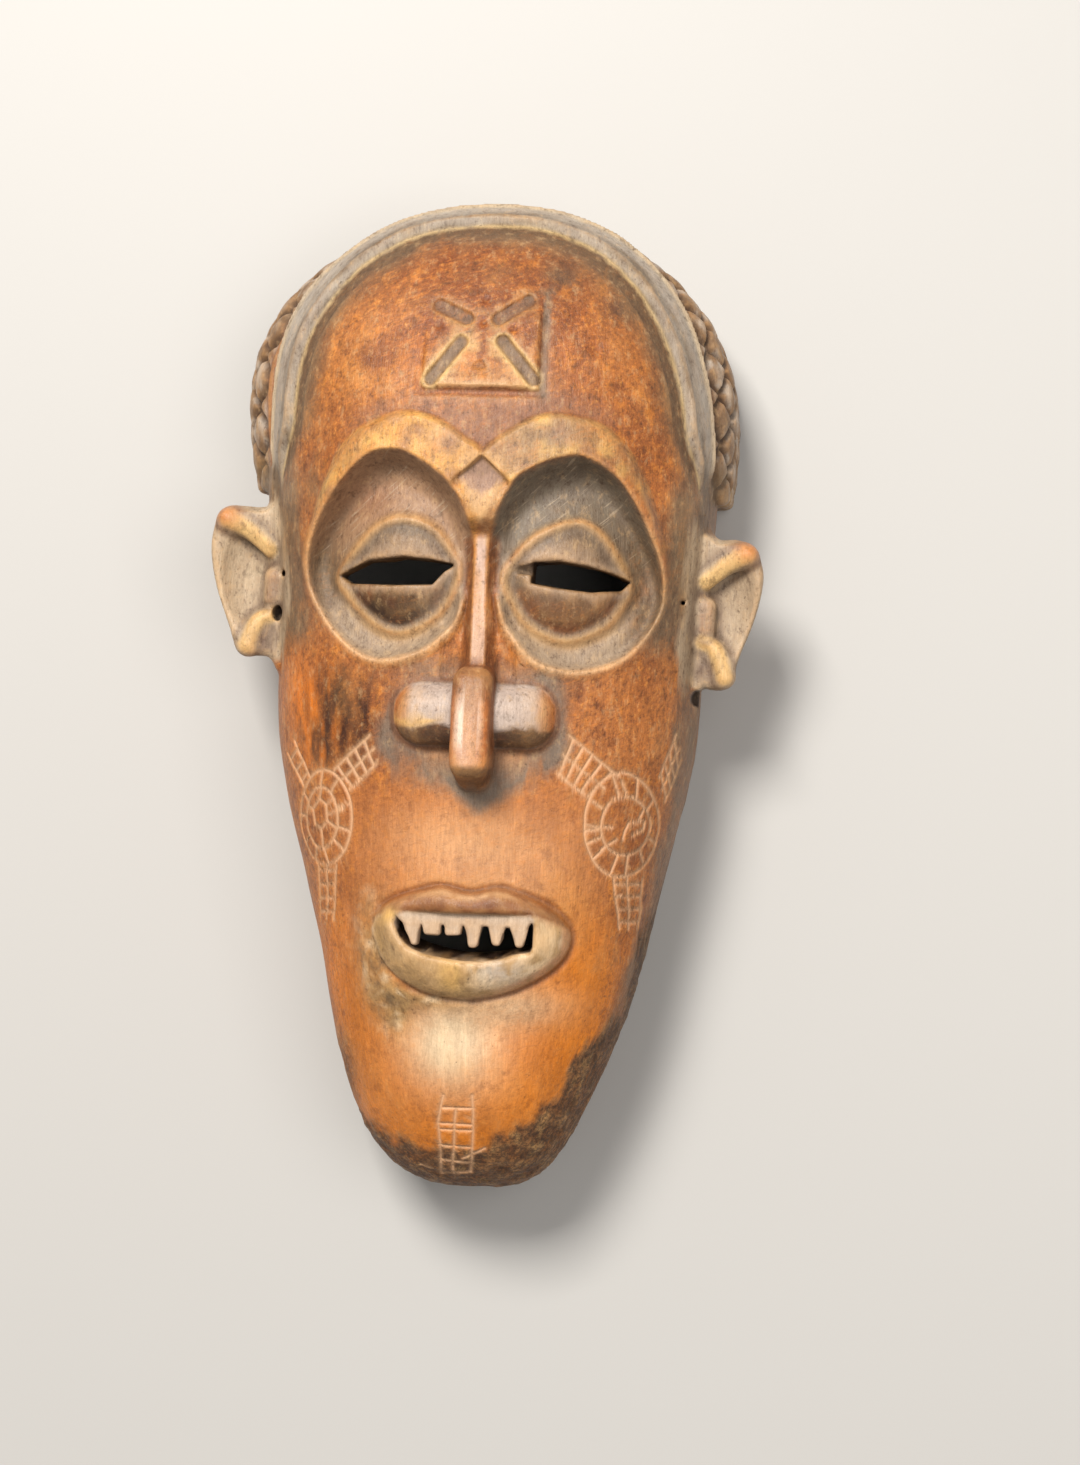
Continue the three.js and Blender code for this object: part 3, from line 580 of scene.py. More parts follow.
def cross_relief(relief):
    c = CROSS
    i, j, x, y = window((c["left"] - 6, c["low"] - 6, c["right"] + 6, c["high"] + 6))
    outside = outside_cross(x, y)
    bars = np.minimum.reduce([line_distance(x, y, bar) for bar in CROSS_BARS])
    # The lower and the right petal stand clear; the upper and the left one are worn down.
    to_foot = smooth(c["high"], c["low"], y)
    to_right = smooth(c["left"], c["right"], x)
    crisp = np.clip(0.9 * to_foot**2 + 0.7 * to_right**3 * smooth(c["high"], c["high"] - 10, y), 0, 1)
    petals = 1.7 * smooth(0.5, -0.6, outside) * crisp
    sunk = 2.0 * smooth(3.1, 2.2, bars) * (0.6 + 0.4 * crisp)
    strip = 1.3 * smooth(0.2, 0.8, outside) * smooth(4.2, 2.6, outside) * np.maximum(crisp - 0.3, 0)
    pits = sum(hill(np.hypot(x - px, y - py), 1.3) for px, py in CROSS_PITS)
    ticks = hill(y - c["low"] - 5.2, 0.8) * (0.5 + 0.5 * np.cos(x * 2.6)) * smooth(7, 5, np.abs(x - c["x"]))
    up = y - c["low"] - 7
    triangle = smooth(0.5, -0.5, np.maximum(-up, up - 4.2 + 1.25 * np.abs(x - c["x"] + 0.6)))
    relief[i, j] += petals - sunk - strip - 1.1 * pits - 0.5 * ticks - 0.8 * triangle


def oval(middle, radii, angles):
    return np.array(middle) + np.array(radii) * np.stack([np.cos(angles), np.sin(angles)], 1)


def scar_lines():
    # Every scar as a run of straight pieces seen from the front
    lines = [np.array(line, float) for line in CHIN_LINES]
    for figure in CHEEKS.values():
        spokes = np.radians(figure["spokes"])
        lines += [oval(*figure[ring], np.linspace(0, 2 * np.pi, 37)) for ring in ("outer", "inner")]
        lines += list(np.stack([oval(*figure[ring], spokes) for ring in ("inner", "outer")], 1))
        lines += [np.array(line, float) for line in (figure["hook"], *figure["strokes"])]
        for one, other, rails, rungs in figure["ladders"]:
            sides = np.array([one, other], float)
            lines += [sides[0] + (sides[1] - sides[0]) * share for share in np.linspace(0, 1, rails)]
            for share in (np.arange(rungs) + 0.4) / rungs:
                lines.append(sides[:, 0] + (sides[:, 1] - sides[:, 0]) * share)
    return lines


def scar_tree(points, triangles):
    # Points close together along every scar, laid on the surface, in a tree that finds the nearest
    surface = BVHTree.FromPolygons(points.tolist(), triangles.tolist())
    samples = []
    for line in scar_lines():
        for a, b in zip(line[:-1], line[1:]):
            steps = max(int(np.hypot(*(b - a)) / 0.2), 1)
            samples.append(a + (b - a) * np.linspace(0, 1, steps)[:, None])
    flat = np.vstack(samples)
    level = np.hstack([flat, np.zeros((len(flat), 1))])
    flat = flat + SCAR["wander"] * np.stack([value_noise(level, 6), value_noise(level + 50, 6)], 1)
    found = []
    for x, y in flat:
        hit = surface.ray_cast(Vector((x, y, 200)), Vector((0, 0, -1)))[0]
        if hit is not None:
            found.append(hit)
    tree = KDTree(len(found))
    for number, hit in enumerate(found):
        tree.insert(hit, number)
    tree.balance()
    return tree


def scar_distance(points, tree):
    # Distance from the nearest scar, or a large one where the scars are far away
    x, y, z = points.T
    near = (z > 50) & (y < -4) & (((np.abs(x) > 26) & (y > -98)) | ((np.abs(x + 5) < 22) & (y < -150)))
    distance = np.full(len(points), FAR)
    distance[near] = [tree.find(point)[2] for point in points[near].tolist()]
    return distance


def small_wear_relief(relief):
    for x0, y0, size, deep in DENTS:
        i, j, x, y = window((x0 - 12, y0 - 12, x0 + 12, y0 + 12))
        relief[i, j] -= deep * hill(np.hypot(x - x0, y - y0), size)
    for x0, y0, y1 in CRACKS:
        crack = [(x0, y0), (x0 + 0.8, (y0 + y1) / 2), (x0, y1)]
        i, j, x, y = window(around(crack, 3))
        relief[i, j] -= 0.9 * hill(line_distance(x, y, crack), 0.6)


def face_relief():
    relief = np.zeros((len(xs), len(ys)), np.float32)
    for side in EYES:
        socket_relief(relief, side)
    for form in (notch_relief, ridge_relief, mouth_relief, chin_relief, cross_relief, small_wear_relief):
        form(relief)
    return relief


# Forms that stand off the head

def carve_nose(field):
    w = WINGS
    where, x, y, z = room((-52, -60, 52, 22), 80, 139)
    droop = w["droop"] * (np.abs(x - w["x"]) / w["reach"]) ** 2
    rounding = w["radius"] - w["flat"]
    sizes = (w["reach"] - rounding, w["flat"], w["flat"])
    offsets = (x - w["x"], y - w["y"], z - w["z"] + droop)
    wings = np.sqrt(sum(np.maximum(np.abs(o) - size, 0) ** 2 for o, size in zip(offsets, sizes))) - rounding
    out = blend_min(field[where], wings, 3)
    b = BAR
    share = (b["top_y"] - y) / (b["top_y"] - b["foot_y"])
    top = b["top_z"] + (b["foot_z"] - b["top_z"]) * share
    narrow = b["half_width"] * (1 - 0.16 * smooth(0.75, 1.15, share) - 0.1 * smooth(0.2, -0.1, share))
    side = np.abs(x - b["x"]) - narrow
    foot = (b["foot_y"] - y) - (b["foot_z"] - z) * 0.26
    bar = rounded([side, z - top, y - b["top_y"] - (top - z) * 0.12, foot], 5)
    field[where] = blend_min(out, bar, 1.6)


def lozenges(x, y, z):
    # Depth of the cuts between the lozenges of the hair
    angle = np.arctan2(y - HAIR["middle_y"], x)
    along = angle * HAIR["mean_radius"] / LOZENGE["along"]
    down = z / LOZENGE["down"]
    first = np.abs((along + down) % 1 - 0.5)
    second = np.abs((along - down) % 1 - 0.5)
    edge = 0.5 - np.maximum(first, second)
    return LOZENGE["depth"] * (1 - smooth(0.0, 0.2, edge)) + 0.5 * smooth(0.5, 0.1, edge)


def carve_hair(field):
    h = HAIR
    where, x, y, z = room((-110, h["end_y"] - 6, 110, 204), -3 * STEP, h["top_z"] + 6)
    over = np.clip((z - h["flat_top_z"]) / (h["top_z"] - h["flat_top_z"]), 0, 1.2)
    inset = h["tuck"] * over**2.4
    left, right = HAIR_SIDES[-1], HAIR_SIDES[1]
    half_width, widest, up, down = [np.where(x < 0, left[k], right[k]) for k in left]
    height = np.where(y > widest, up, down)
    radius = np.hypot(x / (half_width - inset), (y - widest) / (height - inset))
    outer = (radius - 1) * np.minimum(half_width, height) * 0.97
    rim_z = h["top_z"] - h["rim"]
    cuts = lozenges(x, y, z) * smooth(rim_z, rim_z - 1.5, z)
    outer = outer + cuts + 1.2 * hill(z - rim_z, 0.8)
    end = (h["end_y"] + 1.5 * smooth(60, 0, z)) - y
    roll = blend_max(outer, z - h["top_z"], 3)
    roll = blend_max(roll, end, 3)
    field[where] = blend_min(field[where], roll, 1.2)


def carve_band(field, shell):
    b = BAND
    where, x, y, z = room((-100, b["end_y"] - 8, 100, 204), b["low_z"] - 8, b["high_z"] + 10)
    fade = smooth(b["end_y"] - 2, b["end_y"] + 16, y)
    low, high = band_edges(y)
    middle = (low + high) / 2
    half = (high - low) / 2
    ridges = 1.1 * hill(z - low - 1.2, 1.0) + 0.5 * hill(z - high + 0.9, 0.8)
    raised = shell[where] - (b["raise"] + ridges) * fade
    band = blend_max(raised, np.abs(z - middle) - half, 0.8)
    field[where] = blend_min(field[where], band, 0.8)
    recess = 0.8 * hill(z - high - 2.8, 4.5) * fade
    groove = 1.3 * hill(z - low + 0.3, 0.7) * fade
    field[where] += recess + groove


def band_edges(y):
    # The levels between which the headband runs, at height y
    high = BAND["high_z"] + BAND["wider"] * smooth(196, 150, y) - 8 * smooth(112, BAND["end_y"], y)
    return BAND["low_z"], high


def tube(x, y, z, points, z_of, radii):
    # A round bar along a smooth curve, with its radius going evenly from one end to the other
    curve = smooth_curve(points, False, 4)
    best = None
    for n, ((ax, ay), (bx, by)) in enumerate(zip(curve[:-1], curve[1:])):
        dx, dy = bx - ax, by - ay
        t = np.clip(((x - ax) * dx + (y - ay) * dy) / (dx * dx + dy * dy), 0, 1)
        share = (n + t) / (len(curve) - 1)
        radius = radii[0] + (radii[1] - radii[0]) * share
        z0 = z_of[0] + (z_of[1] - z_of[0]) * share
        d = np.sqrt((x - ax - t * dx) ** 2 + (y - ay - t * dy) ** 2 + (z - z0) ** 2) - radius
        best = d if best is None else np.minimum(best, d)
    return best


def carve_ear(field, side):
    ear = EARS[side]
    outline = closed(ear["outline"])
    low_y, high_y = outline[:, 1].min() - 8, outline[:, 1].max() + 8
    box = (74, low_y, 116, high_y) if side > 0 else (-118, low_y, -74, high_y)
    where, x, y, z = room(box, EAR_Z["back"] - 12, EAR_Z["front"] + 16)
    out = x * side
    lift = (out - 95) * EAR_Z["lean"]
    flat = outline_distance(out[:, :, 0], y[:, :, 0], outline)[:, :, None]
    middle = (EAR_Z["front"] + EAR_Z["back"]) / 2 + lift
    thick = (EAR_Z["front"] - EAR_Z["back"]) / 2
    plate = rounded([flat, np.abs(z - middle) - thick], 3.2)
    bx, by = ear["bowl"]
    bowl = ((out - bx) / 11, (y - by) / 21, (z - middle - thick - 2) / 8.5)
    bowl_depth = np.sqrt(sum(part**2 for part in bowl))
    plate = blend_max(plate, -(bowl_depth - 1) * 8, 2.5)
    # The upper corner is a thick, flat field whose lower edge is the helix.
    helix_line = np.array(ear["helix"][::-1])
    over = smooth(-0.5, 1.5, y - np.interp(out, *helix_line.T))
    inside = smooth(0.5, -2.5, flat)
    whole = plate - 3.4 * over * inside * smooth(middle - 2, middle + 3, z)
    for part, levels, radii, soft, _, _ in EAR_BARS:
        whole = blend_min(whole, tube(out, y, z, ear[part], levels, radii), soft)
    field[where] = blend_min(field[where], whole, 4)


def mouth_opening():
    left = OPENING_OUTLINE[0]
    right = OPENING_OUTLINE[-1]
    corners = [
        (OPENING_RIGHT, right[1] + 2), (OPENING_RIGHT, GUM_LINE_Y - 1), (OPENING_RIGHT - 1.2, GUM_LINE_Y),
        (left[0] + 3.2, GUM_LINE_Y), (left[0] + 0.6, GUM_LINE_Y - 2.2),
    ]
    return np.vstack([smooth_curve(OPENING_OUTLINE, False), corners])


def shallow_corner(field):
    ends = np.array(SLIT_CORNER)
    where, x, y, z = room(around(ends, 6), 90, 125)
    flat_x, flat_y = x[:, :, 0], y[:, :, 0]
    share = np.clip((flat_x - ends[0, 0]) / (ends[1, 0] - ends[0, 0]), 0, 1)[:, :, None]
    away = line_distance(flat_x, flat_y, SLIT_CORNER)[:, :, None]
    over_floor = np.maximum(113 - 9 * share - z, 0)
    field[where] = np.maximum(field[where], 0.6 + 2.8 * share - away * 1.1 - over_floor)


def cut_through(field, outline, soft, flare, level):
    # The hole has the outline's size at one level and widens towards the front by the flare.
    where, x, y, z = room(around(outline, 6), *THROUGH_Z)
    hole = outline_distance(x[:, :, 0], y[:, :, 0], outline)[:, :, None]
    field[where] = blend_max(field[where], -(hole - flare * (z - level)), soft)


def carve_teeth(field):
    where, x, y, z = room((-34, -106, 31, -78), TEETH_Z[0] - 5, TEETH_Z[1] + 5)
    flat_x, flat_y = x[:, :, 0], y[:, :, 0]
    middle = sum(TEETH_Z) / 2
    half = (TEETH_Z[1] - TEETH_Z[0]) / 2
    out = field[where]
    gum_ends = [(TEETH[0]["left"] + 3.2, GUM_LINE_Y), (TEETH[-1]["right"] - 3.2, GUM_LINE_Y)]
    gum = line_distance(flat_x, flat_y, gum_ends)[:, :, None] - GUM_HEIGHT
    gum = np.maximum(gum, np.abs(z - middle + 0.3) - half)
    out = blend_min(out, gum, 1.5)
    for tooth in TEETH:
        centre = (tooth["left"] + tooth["right"]) / 2
        half_width = (tooth["right"] - tooth["left"]) / 2
        length = GUM_LINE_Y - tooth["tip"]
        share = np.clip((GUM_LINE_Y - flat_y) / length, 0, 1.1)
        taper = 1 - tooth["sharp"] * smooth(0.1, 1.05, share) - 0.1 * share
        side = np.abs(flat_x - centre - tooth["lean"] * share) - half_width * taper
        parts = [part[:, :, None] for part in (side, tooth["tip"] - flat_y, flat_y - GUM_LINE_Y - 3)]
        parts.append(np.abs(z - middle + 0.9 * share[:, :, None]) - half)
        out = blend_min(out, rounded(parts, 1.0), 0.6)
    field[where] = out


def drill_cord_holes(field):
    for hole in CORD_HOLES:
        rx, ry = hole["radii"]
        box = (hole["x"] - 14, hole["y"] - 8, hole["x"] + 14, hole["y"] + 8)
        where, x, y, z = room(box, 30, 100)
        radius = np.hypot((x - hole["x"]) / rx, (y - hole["y"]) / ry)
        bore = np.maximum((radius - 1) * min(rx, ry), hole["floor"] - z)
        field[where] = blend_max(field[where], -bore, 0.8)


def carve():
    x, y, z = xs[:, None, None], ys[None, :, None], zs[None, None, :]
    shell = head_distance(x, y, z, HEAD)
    relief = face_relief()
    faces_front = smooth(WIDEST_Z, WIDEST_Z + 12, z)
    shell -= relief[:, :, None] * faces_front
    field = shell.copy()
    carve_nose(field)
    carve_hair(field)
    carve_band(field, shell)
    for side in EARS:
        carve_ear(field, side)
    field = np.maximum(field, -head_distance(x, y, z, inside_head()))
    cut_through(field, mouth_opening(), 2.4, 0.1, 108)
    carve_teeth(field)
    for eye in EYES.values():
        cut_through(field, np.array(eye["slit"], float), 0.9, 0.05, 105)
    shallow_corner(field)
    drill_cord_holes(field)
    return blend_max(field, np.broadcast_to(-z, field.shape), 1.5)


# Drawing the surface through the field's zeros

def part_sheets(field):
    # Turns the weakest corner of each grid face whose signs lie crosswise, so that no two sheets of
    # the surface share an edge.
    for _ in range(SHEET_TURNS):
        for u, v in ((0, 1), (1, 2), (2, 0)):
            inside = field < 0
            steps = [np.zeros(3, int), np.eye(3, dtype=int)[u], np.eye(3, dtype=int)[v]]
            ring = [steps[0], steps[1], steps[1] + steps[2], steps[2]]
            size = np.array(field.shape) - ring[2]
            a, b, c, d = (inside[tuple(slice(o, o + n) for o, n in zip(step, size))] for step in ring)
            places = np.argwhere((a == c) & (b == d) & (a != b))
            corners = np.stack([places + step for step in ring], 1)
            weakest = np.abs(field[tuple(np.moveaxis(corners, 2, 0))]).argmin(1)
            chosen = tuple(corners[np.arange(len(places)), weakest].T)
            field[chosen] = np.where(field[chosen] < 0, TURNED, -TURNED)


def surface(field):
    # One point in each cell that the surface crosses, joined to its neighbours across each crossed edge
    part_sheets(field)
    inside = field < 0
    count = np.zeros(tuple(n - 1 for n in field.shape), np.uint8)
    corners = [(i, j, k) for i in (0, 1) for j in (0, 1) for k in (0, 1)]
    nx, ny, nz = count.shape
    for i, j, k in corners:
        count += inside[i:i + nx, j:j + ny, k:k + nz]
    cells = np.argwhere((count > 0) & (count < 8))
    number = np.full(count.shape, -1, np.int32)
    number[tuple(cells.T)] = np.arange(len(cells))
    values = {c: field[tuple((cells + c).T)] for c in corners}
    total = np.zeros((len(cells), 3))
    crossings = np.zeros(len(cells))
    for axis in range(3):
        for start in [c for c in corners if c[axis] == 0]:
            end = tuple(v + (n == axis) for n, v in enumerate(start))
            a, b = values[start], values[end]
            crossed = (a < 0) != (b < 0)
            t = np.where(crossed, a / np.where(crossed, a - b, 1), 0)
            point = np.array(start, float) + np.eye(3)[axis] * t[:, None]
            total += point * crossed[:, None]
            crossings += crossed
    points = (cells + total / crossings[:, None]) * STEP + [xs[0], ys[0], zs[0]]
    faces = []
    for axis in range(3):
        u, v = [(1, 2), (2, 0), (0, 1)][axis]
        a = inside.take(range(inside.shape[axis] - 1), axis)
        b = inside.take(range(1, inside.shape[axis]), axis)
        edges = np.argwhere(a != b)
        edges = edges[(edges[:, u] > 0) & (edges[:, v] > 0)]
        edges = edges[(edges[:, u] < inside.shape[u] - 1) & (edges[:, v] < inside.shape[v] - 1)]
        leaving = a[tuple(edges.T)]
        back_u, back_v = np.eye(3, dtype=int)[u], np.eye(3, dtype=int)[v]
        ring = [edges - back_u - back_v, edges - back_v, edges, edges - back_u]
        quads = np.stack([number[tuple(r.T)] for r in ring], 1)
        quads[~leaving] = quads[~leaving][:, ::-1]
        faces.append(quads)
    return points, np.vstack(faces)


def placed(name, data):
    thing = bpy.data.objects.new(name, data)
    bpy.context.scene.collection.objects.link(thing)
    return thing


def numbers_of(items, name, width, kind=np.float32):
    flat = np.empty(len(items) * width, kind)
    items.foreach_get(name, flat)
    return flat.reshape(-1, width)


def points_of(mesh):
    return numbers_of(mesh.vertices, "co", 3).astype(float) / MM


def normals_of(mesh):
    return numbers_of(mesh.vertices, "normal", 3).astype(float)


def move_points(mesh, points):
    mesh.vertices.foreach_set("co", (points * MM).astype(np.float32).ravel())


def mesh_object(name, points, faces):
    mesh = bpy.data.meshes.new(name)
    mesh.vertices.add(len(points))
    move_points(mesh, points)
    mesh.loops.add(faces.size)
    mesh.loops.foreach_set("vertex_index", faces.astype(np.int32).ravel())
    mesh.polygons.add(len(faces))
    width = faces.shape[1]
    mesh.polygons.foreach_set("loop_start", np.arange(0, faces.size, width, dtype=np.int32))
    mesh.update(calc_edges=True)
    mesh.validate()
    return placed(name, mesh)


def plain_copy(thing, name):
    # Replaces an object by its finished mesh, with no modifier left on it.
    evaluated = thing.evaluated_get(bpy.context.evaluated_depsgraph_get())
    mesh = bpy.data.meshes.new_from_object(evaluated)
    mesh.name = name
    bpy.data.objects.remove(thing)
    return placed(name, mesh)


def thinned(thing, triangles, name):
    count = 2 * len(thing.data.polygons)
    if count > triangles:
        thin = thing.modifiers.new("thin", "DECIMATE")
        thin.ratio = triangles / count
        thin.use_collapse_triangulate = True
    return plain_copy(thing, name)


# The pieces of a triangle with one, two or three split edges. 0, 1 and 2 are its old corners,
# and 3, 4 and 5 the new ones on the edges that start at them.
SPLIT = {
    1: [(0, 3, 2), (3, 1, 2)],
    2: [(3, 1, 4), (0, 3, 4), (0, 4, 2)],
    3: [(0, 3, 5), (3, 1, 4), (5, 4, 2), (3, 4, 5)],
}


def split_edges(points, normals, triangles, chosen):
    # Splits the chosen edges, and lays each new point on the rounded surface between the old ones.
    pairs = np.sort(np.stack([triangles, np.roll(triangles, -1, axis=1)], 2), axis=2).reshape(-1, 2)
    edges, side = np.unique(pairs, axis=0, return_inverse=True)
    marked = chosen(edges)
    number = np.where(marked, len(points) + np.cumsum(marked) - 1, -1)
    a, b = edges[marked].T
    middle = (points[a] + points[b]) / 2
    lift = 0
    for end in (a, b):
        lift = lift + np.einsum("ij,ij->i", middle - points[end], normals[end])[:, None] * normals[end]
    between = normals[a] + normals[b]
    points = np.vstack([points, middle - 0.75 * lift / 2])
    normals = np.vstack([normals, between / np.linalg.norm(between, axis=1)[:, None]])
    new = number[side.reshape(-1, 3)]
    count = (new >= 0).sum(1)
    parts = [triangles[count == 0]]
    for turn in range(3):
        corners = np.hstack([np.roll(triangles, -turn, axis=1), np.roll(new, -turn, axis=1)])
        rows = {1: (count == 1) & (corners[:, 3] >= 0), 2: (count == 2) & (corners[:, 5] < 0)}
        if turn == 0:
            rows[3] = count == 3
        parts += [corners[rows[n]][:, piece] for n in rows for piece in SPLIT[n]]
    return points, normals, np.vstack(parts)


def cut_scars(thing, name):
    # Makes the mesh finer along the scars and presses the knife's fine line into it.
    mesh = thing.data
    points, normals = points_of(mesh), normals_of(mesh)
    triangles = numbers_of(mesh.loops, "vertex_index", 1, np.int32).reshape(-1, 3)
    tree = scar_tree(points, triangles)
    for _ in range(SCAR["passes"]):

        def chosen(edges):
            ends = points[edges]
            length = np.linalg.norm(ends[:, 0] - ends[:, 1], axis=1)
            marked = length > SCAR["finest"]
            reach = scar_distance(ends[marked].mean(axis=1), tree)
            marked[marked] = reach < 0.5 + length[marked] * 0.5
            return marked

        points, normals, triangles = split_edges(points, normals, triangles, chosen)
    distance = scar_distance(points, tree)
    cut = -SCAR["depth"] * hill(distance, SCAR["width"]) + SCAR["lip"] * hill(distance - 1.15, 0.45)
    bpy.data.objects.remove(thing)
    finished = mesh_object(name, points + normals * cut[:, None], triangles)
    mark(finished.data, "scar", hill(distance, 0.72))
    return finished


# Unevenness of hand carving, dust and wear, with painted shade in the hollows and a painted highlight on the
# ridges, worked out on the finished mesh

rng = np.random.default_rng(SEED)
LATTICE = rng.random((LATTICE_SIZE,) * 3)


def value_noise(points, size):
    # Smooth noise between -1 and 1, with lumps about as wide as size
    p = points / size
    cell = np.floor(p).astype(int)
    t = p - cell
    t = t * t * (3 - 2 * t)
    total = np.zeros(len(points))
    for corner in [(i, j, k) for i in (0, 1) for j in (0, 1) for k in (0, 1)]:
        index = (cell + corner) % LATTICE_SIZE
        weight = np.prod(np.where(np.array(corner) == 1, t, 1 - t), axis=1)
        total += weight * LATTICE[tuple(index.T)]
    return total * 2 - 1


def neighbour_average(points, edges, turns):
    a, b = edges.T
    degree = np.maximum(np.bincount(edges.ravel(), minlength=len(points)), 1)[:, None]
    for _ in range(turns):
        total = np.zeros_like(points)
        for axis in range(points.shape[1]):
            for here, there in ((a, b), (b, a)):
                total[:, axis] += np.bincount(here, points[there, axis], len(points))
        points = points * 0.3 + 0.7 * total / degree
    return points


def hollowness(points, normals, edges, turns):
    # How far the ground around each point stands above it, in millimetres
    return np.einsum("ij,ij->i", neighbour_average(points, edges, turns) - points, normals)


def carve_unevenness(mesh):
    # Shallow facets left by the blade, and the rough, worn ground of the chin
    points, normals = points_of(mesh), normals_of(mesh)
    outside = outside_share(points, normals)
    lift = 0.32 * value_noise(points, 17) + 0.16 * value_noise(points * [1, 0.45, 1], 6)
    lips = distance_near(points, closed(LIPS_OUTLINE), 6, 70)
    on_lower_lip = smooth(1, -2, lips) * smooth(-86, -92, points[:, 1])
    rough = [worn_chin(points), 1.15 * rubbed_ground(points), 0.6 * on_lower_lip, 0.3 * smooth(1, -2, lips)]
    rough = np.maximum.reduce(rough)
    lift += rough * (0.55 * value_noise(points, 4.5) + 0.3 * value_noise(points, 2.2))
    lift += (1 - outside) * 0.9 * value_noise(points * [1, 0.5, 1], 12)
    lift *= smooth(0.5, 5, points[:, 2])
    move_points(mesh, points + normals * lift[:, None])
    mesh.update()


def outside_share(points, normals):
    # 1 on the outside of the mask, 0 on the inside of its hollow
    x, y, z = points.T
    half, front, _ = head_at(y, inside_head())
    share = (np.abs(x) / np.maximum(half, 1) / swell(x, y)) ** ROUNDNESS
    reach = np.maximum(z - WIDEST_Z, 0) / np.maximum(front, 1)
    deep = (share + reach**ROUNDNESS) ** (1 / ROUNDNESS)
    middle = points - [0, 0, WIDEST_Z]
    faces_out = np.einsum("ij,ij->i", normals, middle / [1, 3, 1])
    return np.maximum(smooth(1.005, 1.05, deep), smooth(2, 12, faces_out))


def rubbed_ground(points):
    x, y, _ = points.T
    return np.clip(sum(spot(x, y, *place) for place in RUBBED), 0, 1)


def worn_chin(points):
    # The dark, rough ground under the chin and up its right side
    x, y, z = points.T
    edge = np.interp(x, *np.array(WORN_EDGE).T)
    edge = edge + 3 * value_noise(points, 16) + 5 * value_noise(points, 6) + 3 * value_noise(points, 2.5)
    under = smooth(edge + 4, edge - 5, y) * smooth(-68, -92, y)
    left_side = smooth(-44, -52, x) * smooth(-128, -150, y) * 0.7
    low_side = smooth(44, 26, z) * 0.6 * smooth(40, -60, y)
    return np.clip(np.maximum.reduce([under, left_side, low_side]), 0, 1)


def linear(code):
    # An sRGB hex colour as linear red, green and blue
    rgb = np.array([int(code[i:i + 2], 16) for i in (1, 3, 5)]) / 255
    return np.where(rgb <= 0.04045, rgb / 12.92, ((rgb + 0.055) / 1.055) ** 2.4)


# Some of these tints stand in for light and shade: the dark ones laid in creases, on undersides and in the
# holes are painted shade, and the pale ones on the nose's crest, bar and wings and on the upper lip's crest
# are painted highlights.
TINTS = {
    "forehead": "#A05A2A", "amber": "#DA8F42", "flame": "#E47C1A", "rust": "#7E401E",
    "smoky_pink": "#956A50", "smudge": "#5E4636", "temple": "#72604A", "cheek": "#B87038",
    "singed": "#32190F", "under_nose": "#DCA472", "jaw": "#DC7C12", "chin": "#E4C8A2",
    "brow_left": "#DAA052", "brow_right": "#B28A58", "brow_grey": "#8A745E", "diamond": "#A07E6A",
    "notch": "#D4A672", "orange_edge": "#C0692C", "pale_edge": "#D6AC80", "socket_left": "#A68264",
    "socket_right": "#786C5C", "socket_low": "#8E7C68", "valley": "#A8927A", "lens": "#756350",
    "lens_pale": "#A48C76", "lens_rim": "#C29A6A", "lid_left": "#291C14", "lid_right": "#6A4A30",
    "ridge": "#D6B8A8", "side_shade": "#784628", "wings": "#BEACA0", "bar": "#C88850",
    "bar_pale_highlight": "#F4DFCA", "shade_and_dark_wood": "#45301F", "dust_and_hollow_shade": "#7E6F60", "upper_lip": "#98663E",
    "lip_crest_highlight": "#D2A67C", "lower_lip": "#F0D2AA", "lip_gold": "#E8B868", "lip_grey": "#BCB0A2",
    "rough_tan": "#AC8858", "teeth": "#CCB49C", "band": "#A4988A", "band_edge": "#E0BE84",
    "recess": "#66543E", "hair_rim": "#9C6844", "hair": "#8C7258", "ear": "#C6B092",
    "ear_cream": "#E4BC7C", "ear_shadow": "#6A5446", "worn": "#4C3C2C", "inside": "#2E2118",
    "cross_bar": "#7E6C58",
}


def distance_near(points, outline, margin, front_of):
    # Signed distance from an outline for the points at the front that lie near it, and a large one elsewhere
    x, y, z = points.T
    x0, y0, x1, y1 = around(outline, margin)
    near = (x > x0) & (x < x1) & (y > y0) & (y < y1) & (z > front_of)
    distance = np.full(len(points), FAR)
    distance[near] = outline_distance(x[near], y[near], outline)
    return distance


def area(points, outline, soft, shift=0.0):
    # 1 inside an outline on the face, falling to 0 outside it over the soft margin
    distance = distance_near(points, closed(outline), soft + 6, 60)
    return smooth(soft, -soft, distance + shift)


class Paint:
    # Colours laid over one another at the mesh's points, each where it is wanted, and how much of
    # the warm flecking shows through. Patch and blotch are the noise that breaks up their edges.

    def __init__(self, points, name):
        self.points = points
        self.patch = value_noise(points, 22)
        self.blotch = value_noise(points * [1, 0.7, 1], 7)
        self.colour = np.tile(linear(TINTS[name]), (len(points), 1))
        self.warm = np.ones(len(points))

    def dab(self, *place):
        # A soft oval, given by its middle and its half-axes
        return spot(self.points[:, 0], self.points[:, 1], *place)

    def over(self, mask, layers):
        # Each layer is a tint, its amount inside the mask and, if it changes it, how much warmth it leaves.
        for name, amount, *warm in layers:
            amount = np.clip(mask * amount, 0, 1)
            self.colour += (linear(TINTS[name]) - self.colour) * amount[:, None]
            if warm:
                self.warm += (warm[0] - self.warm) * amount


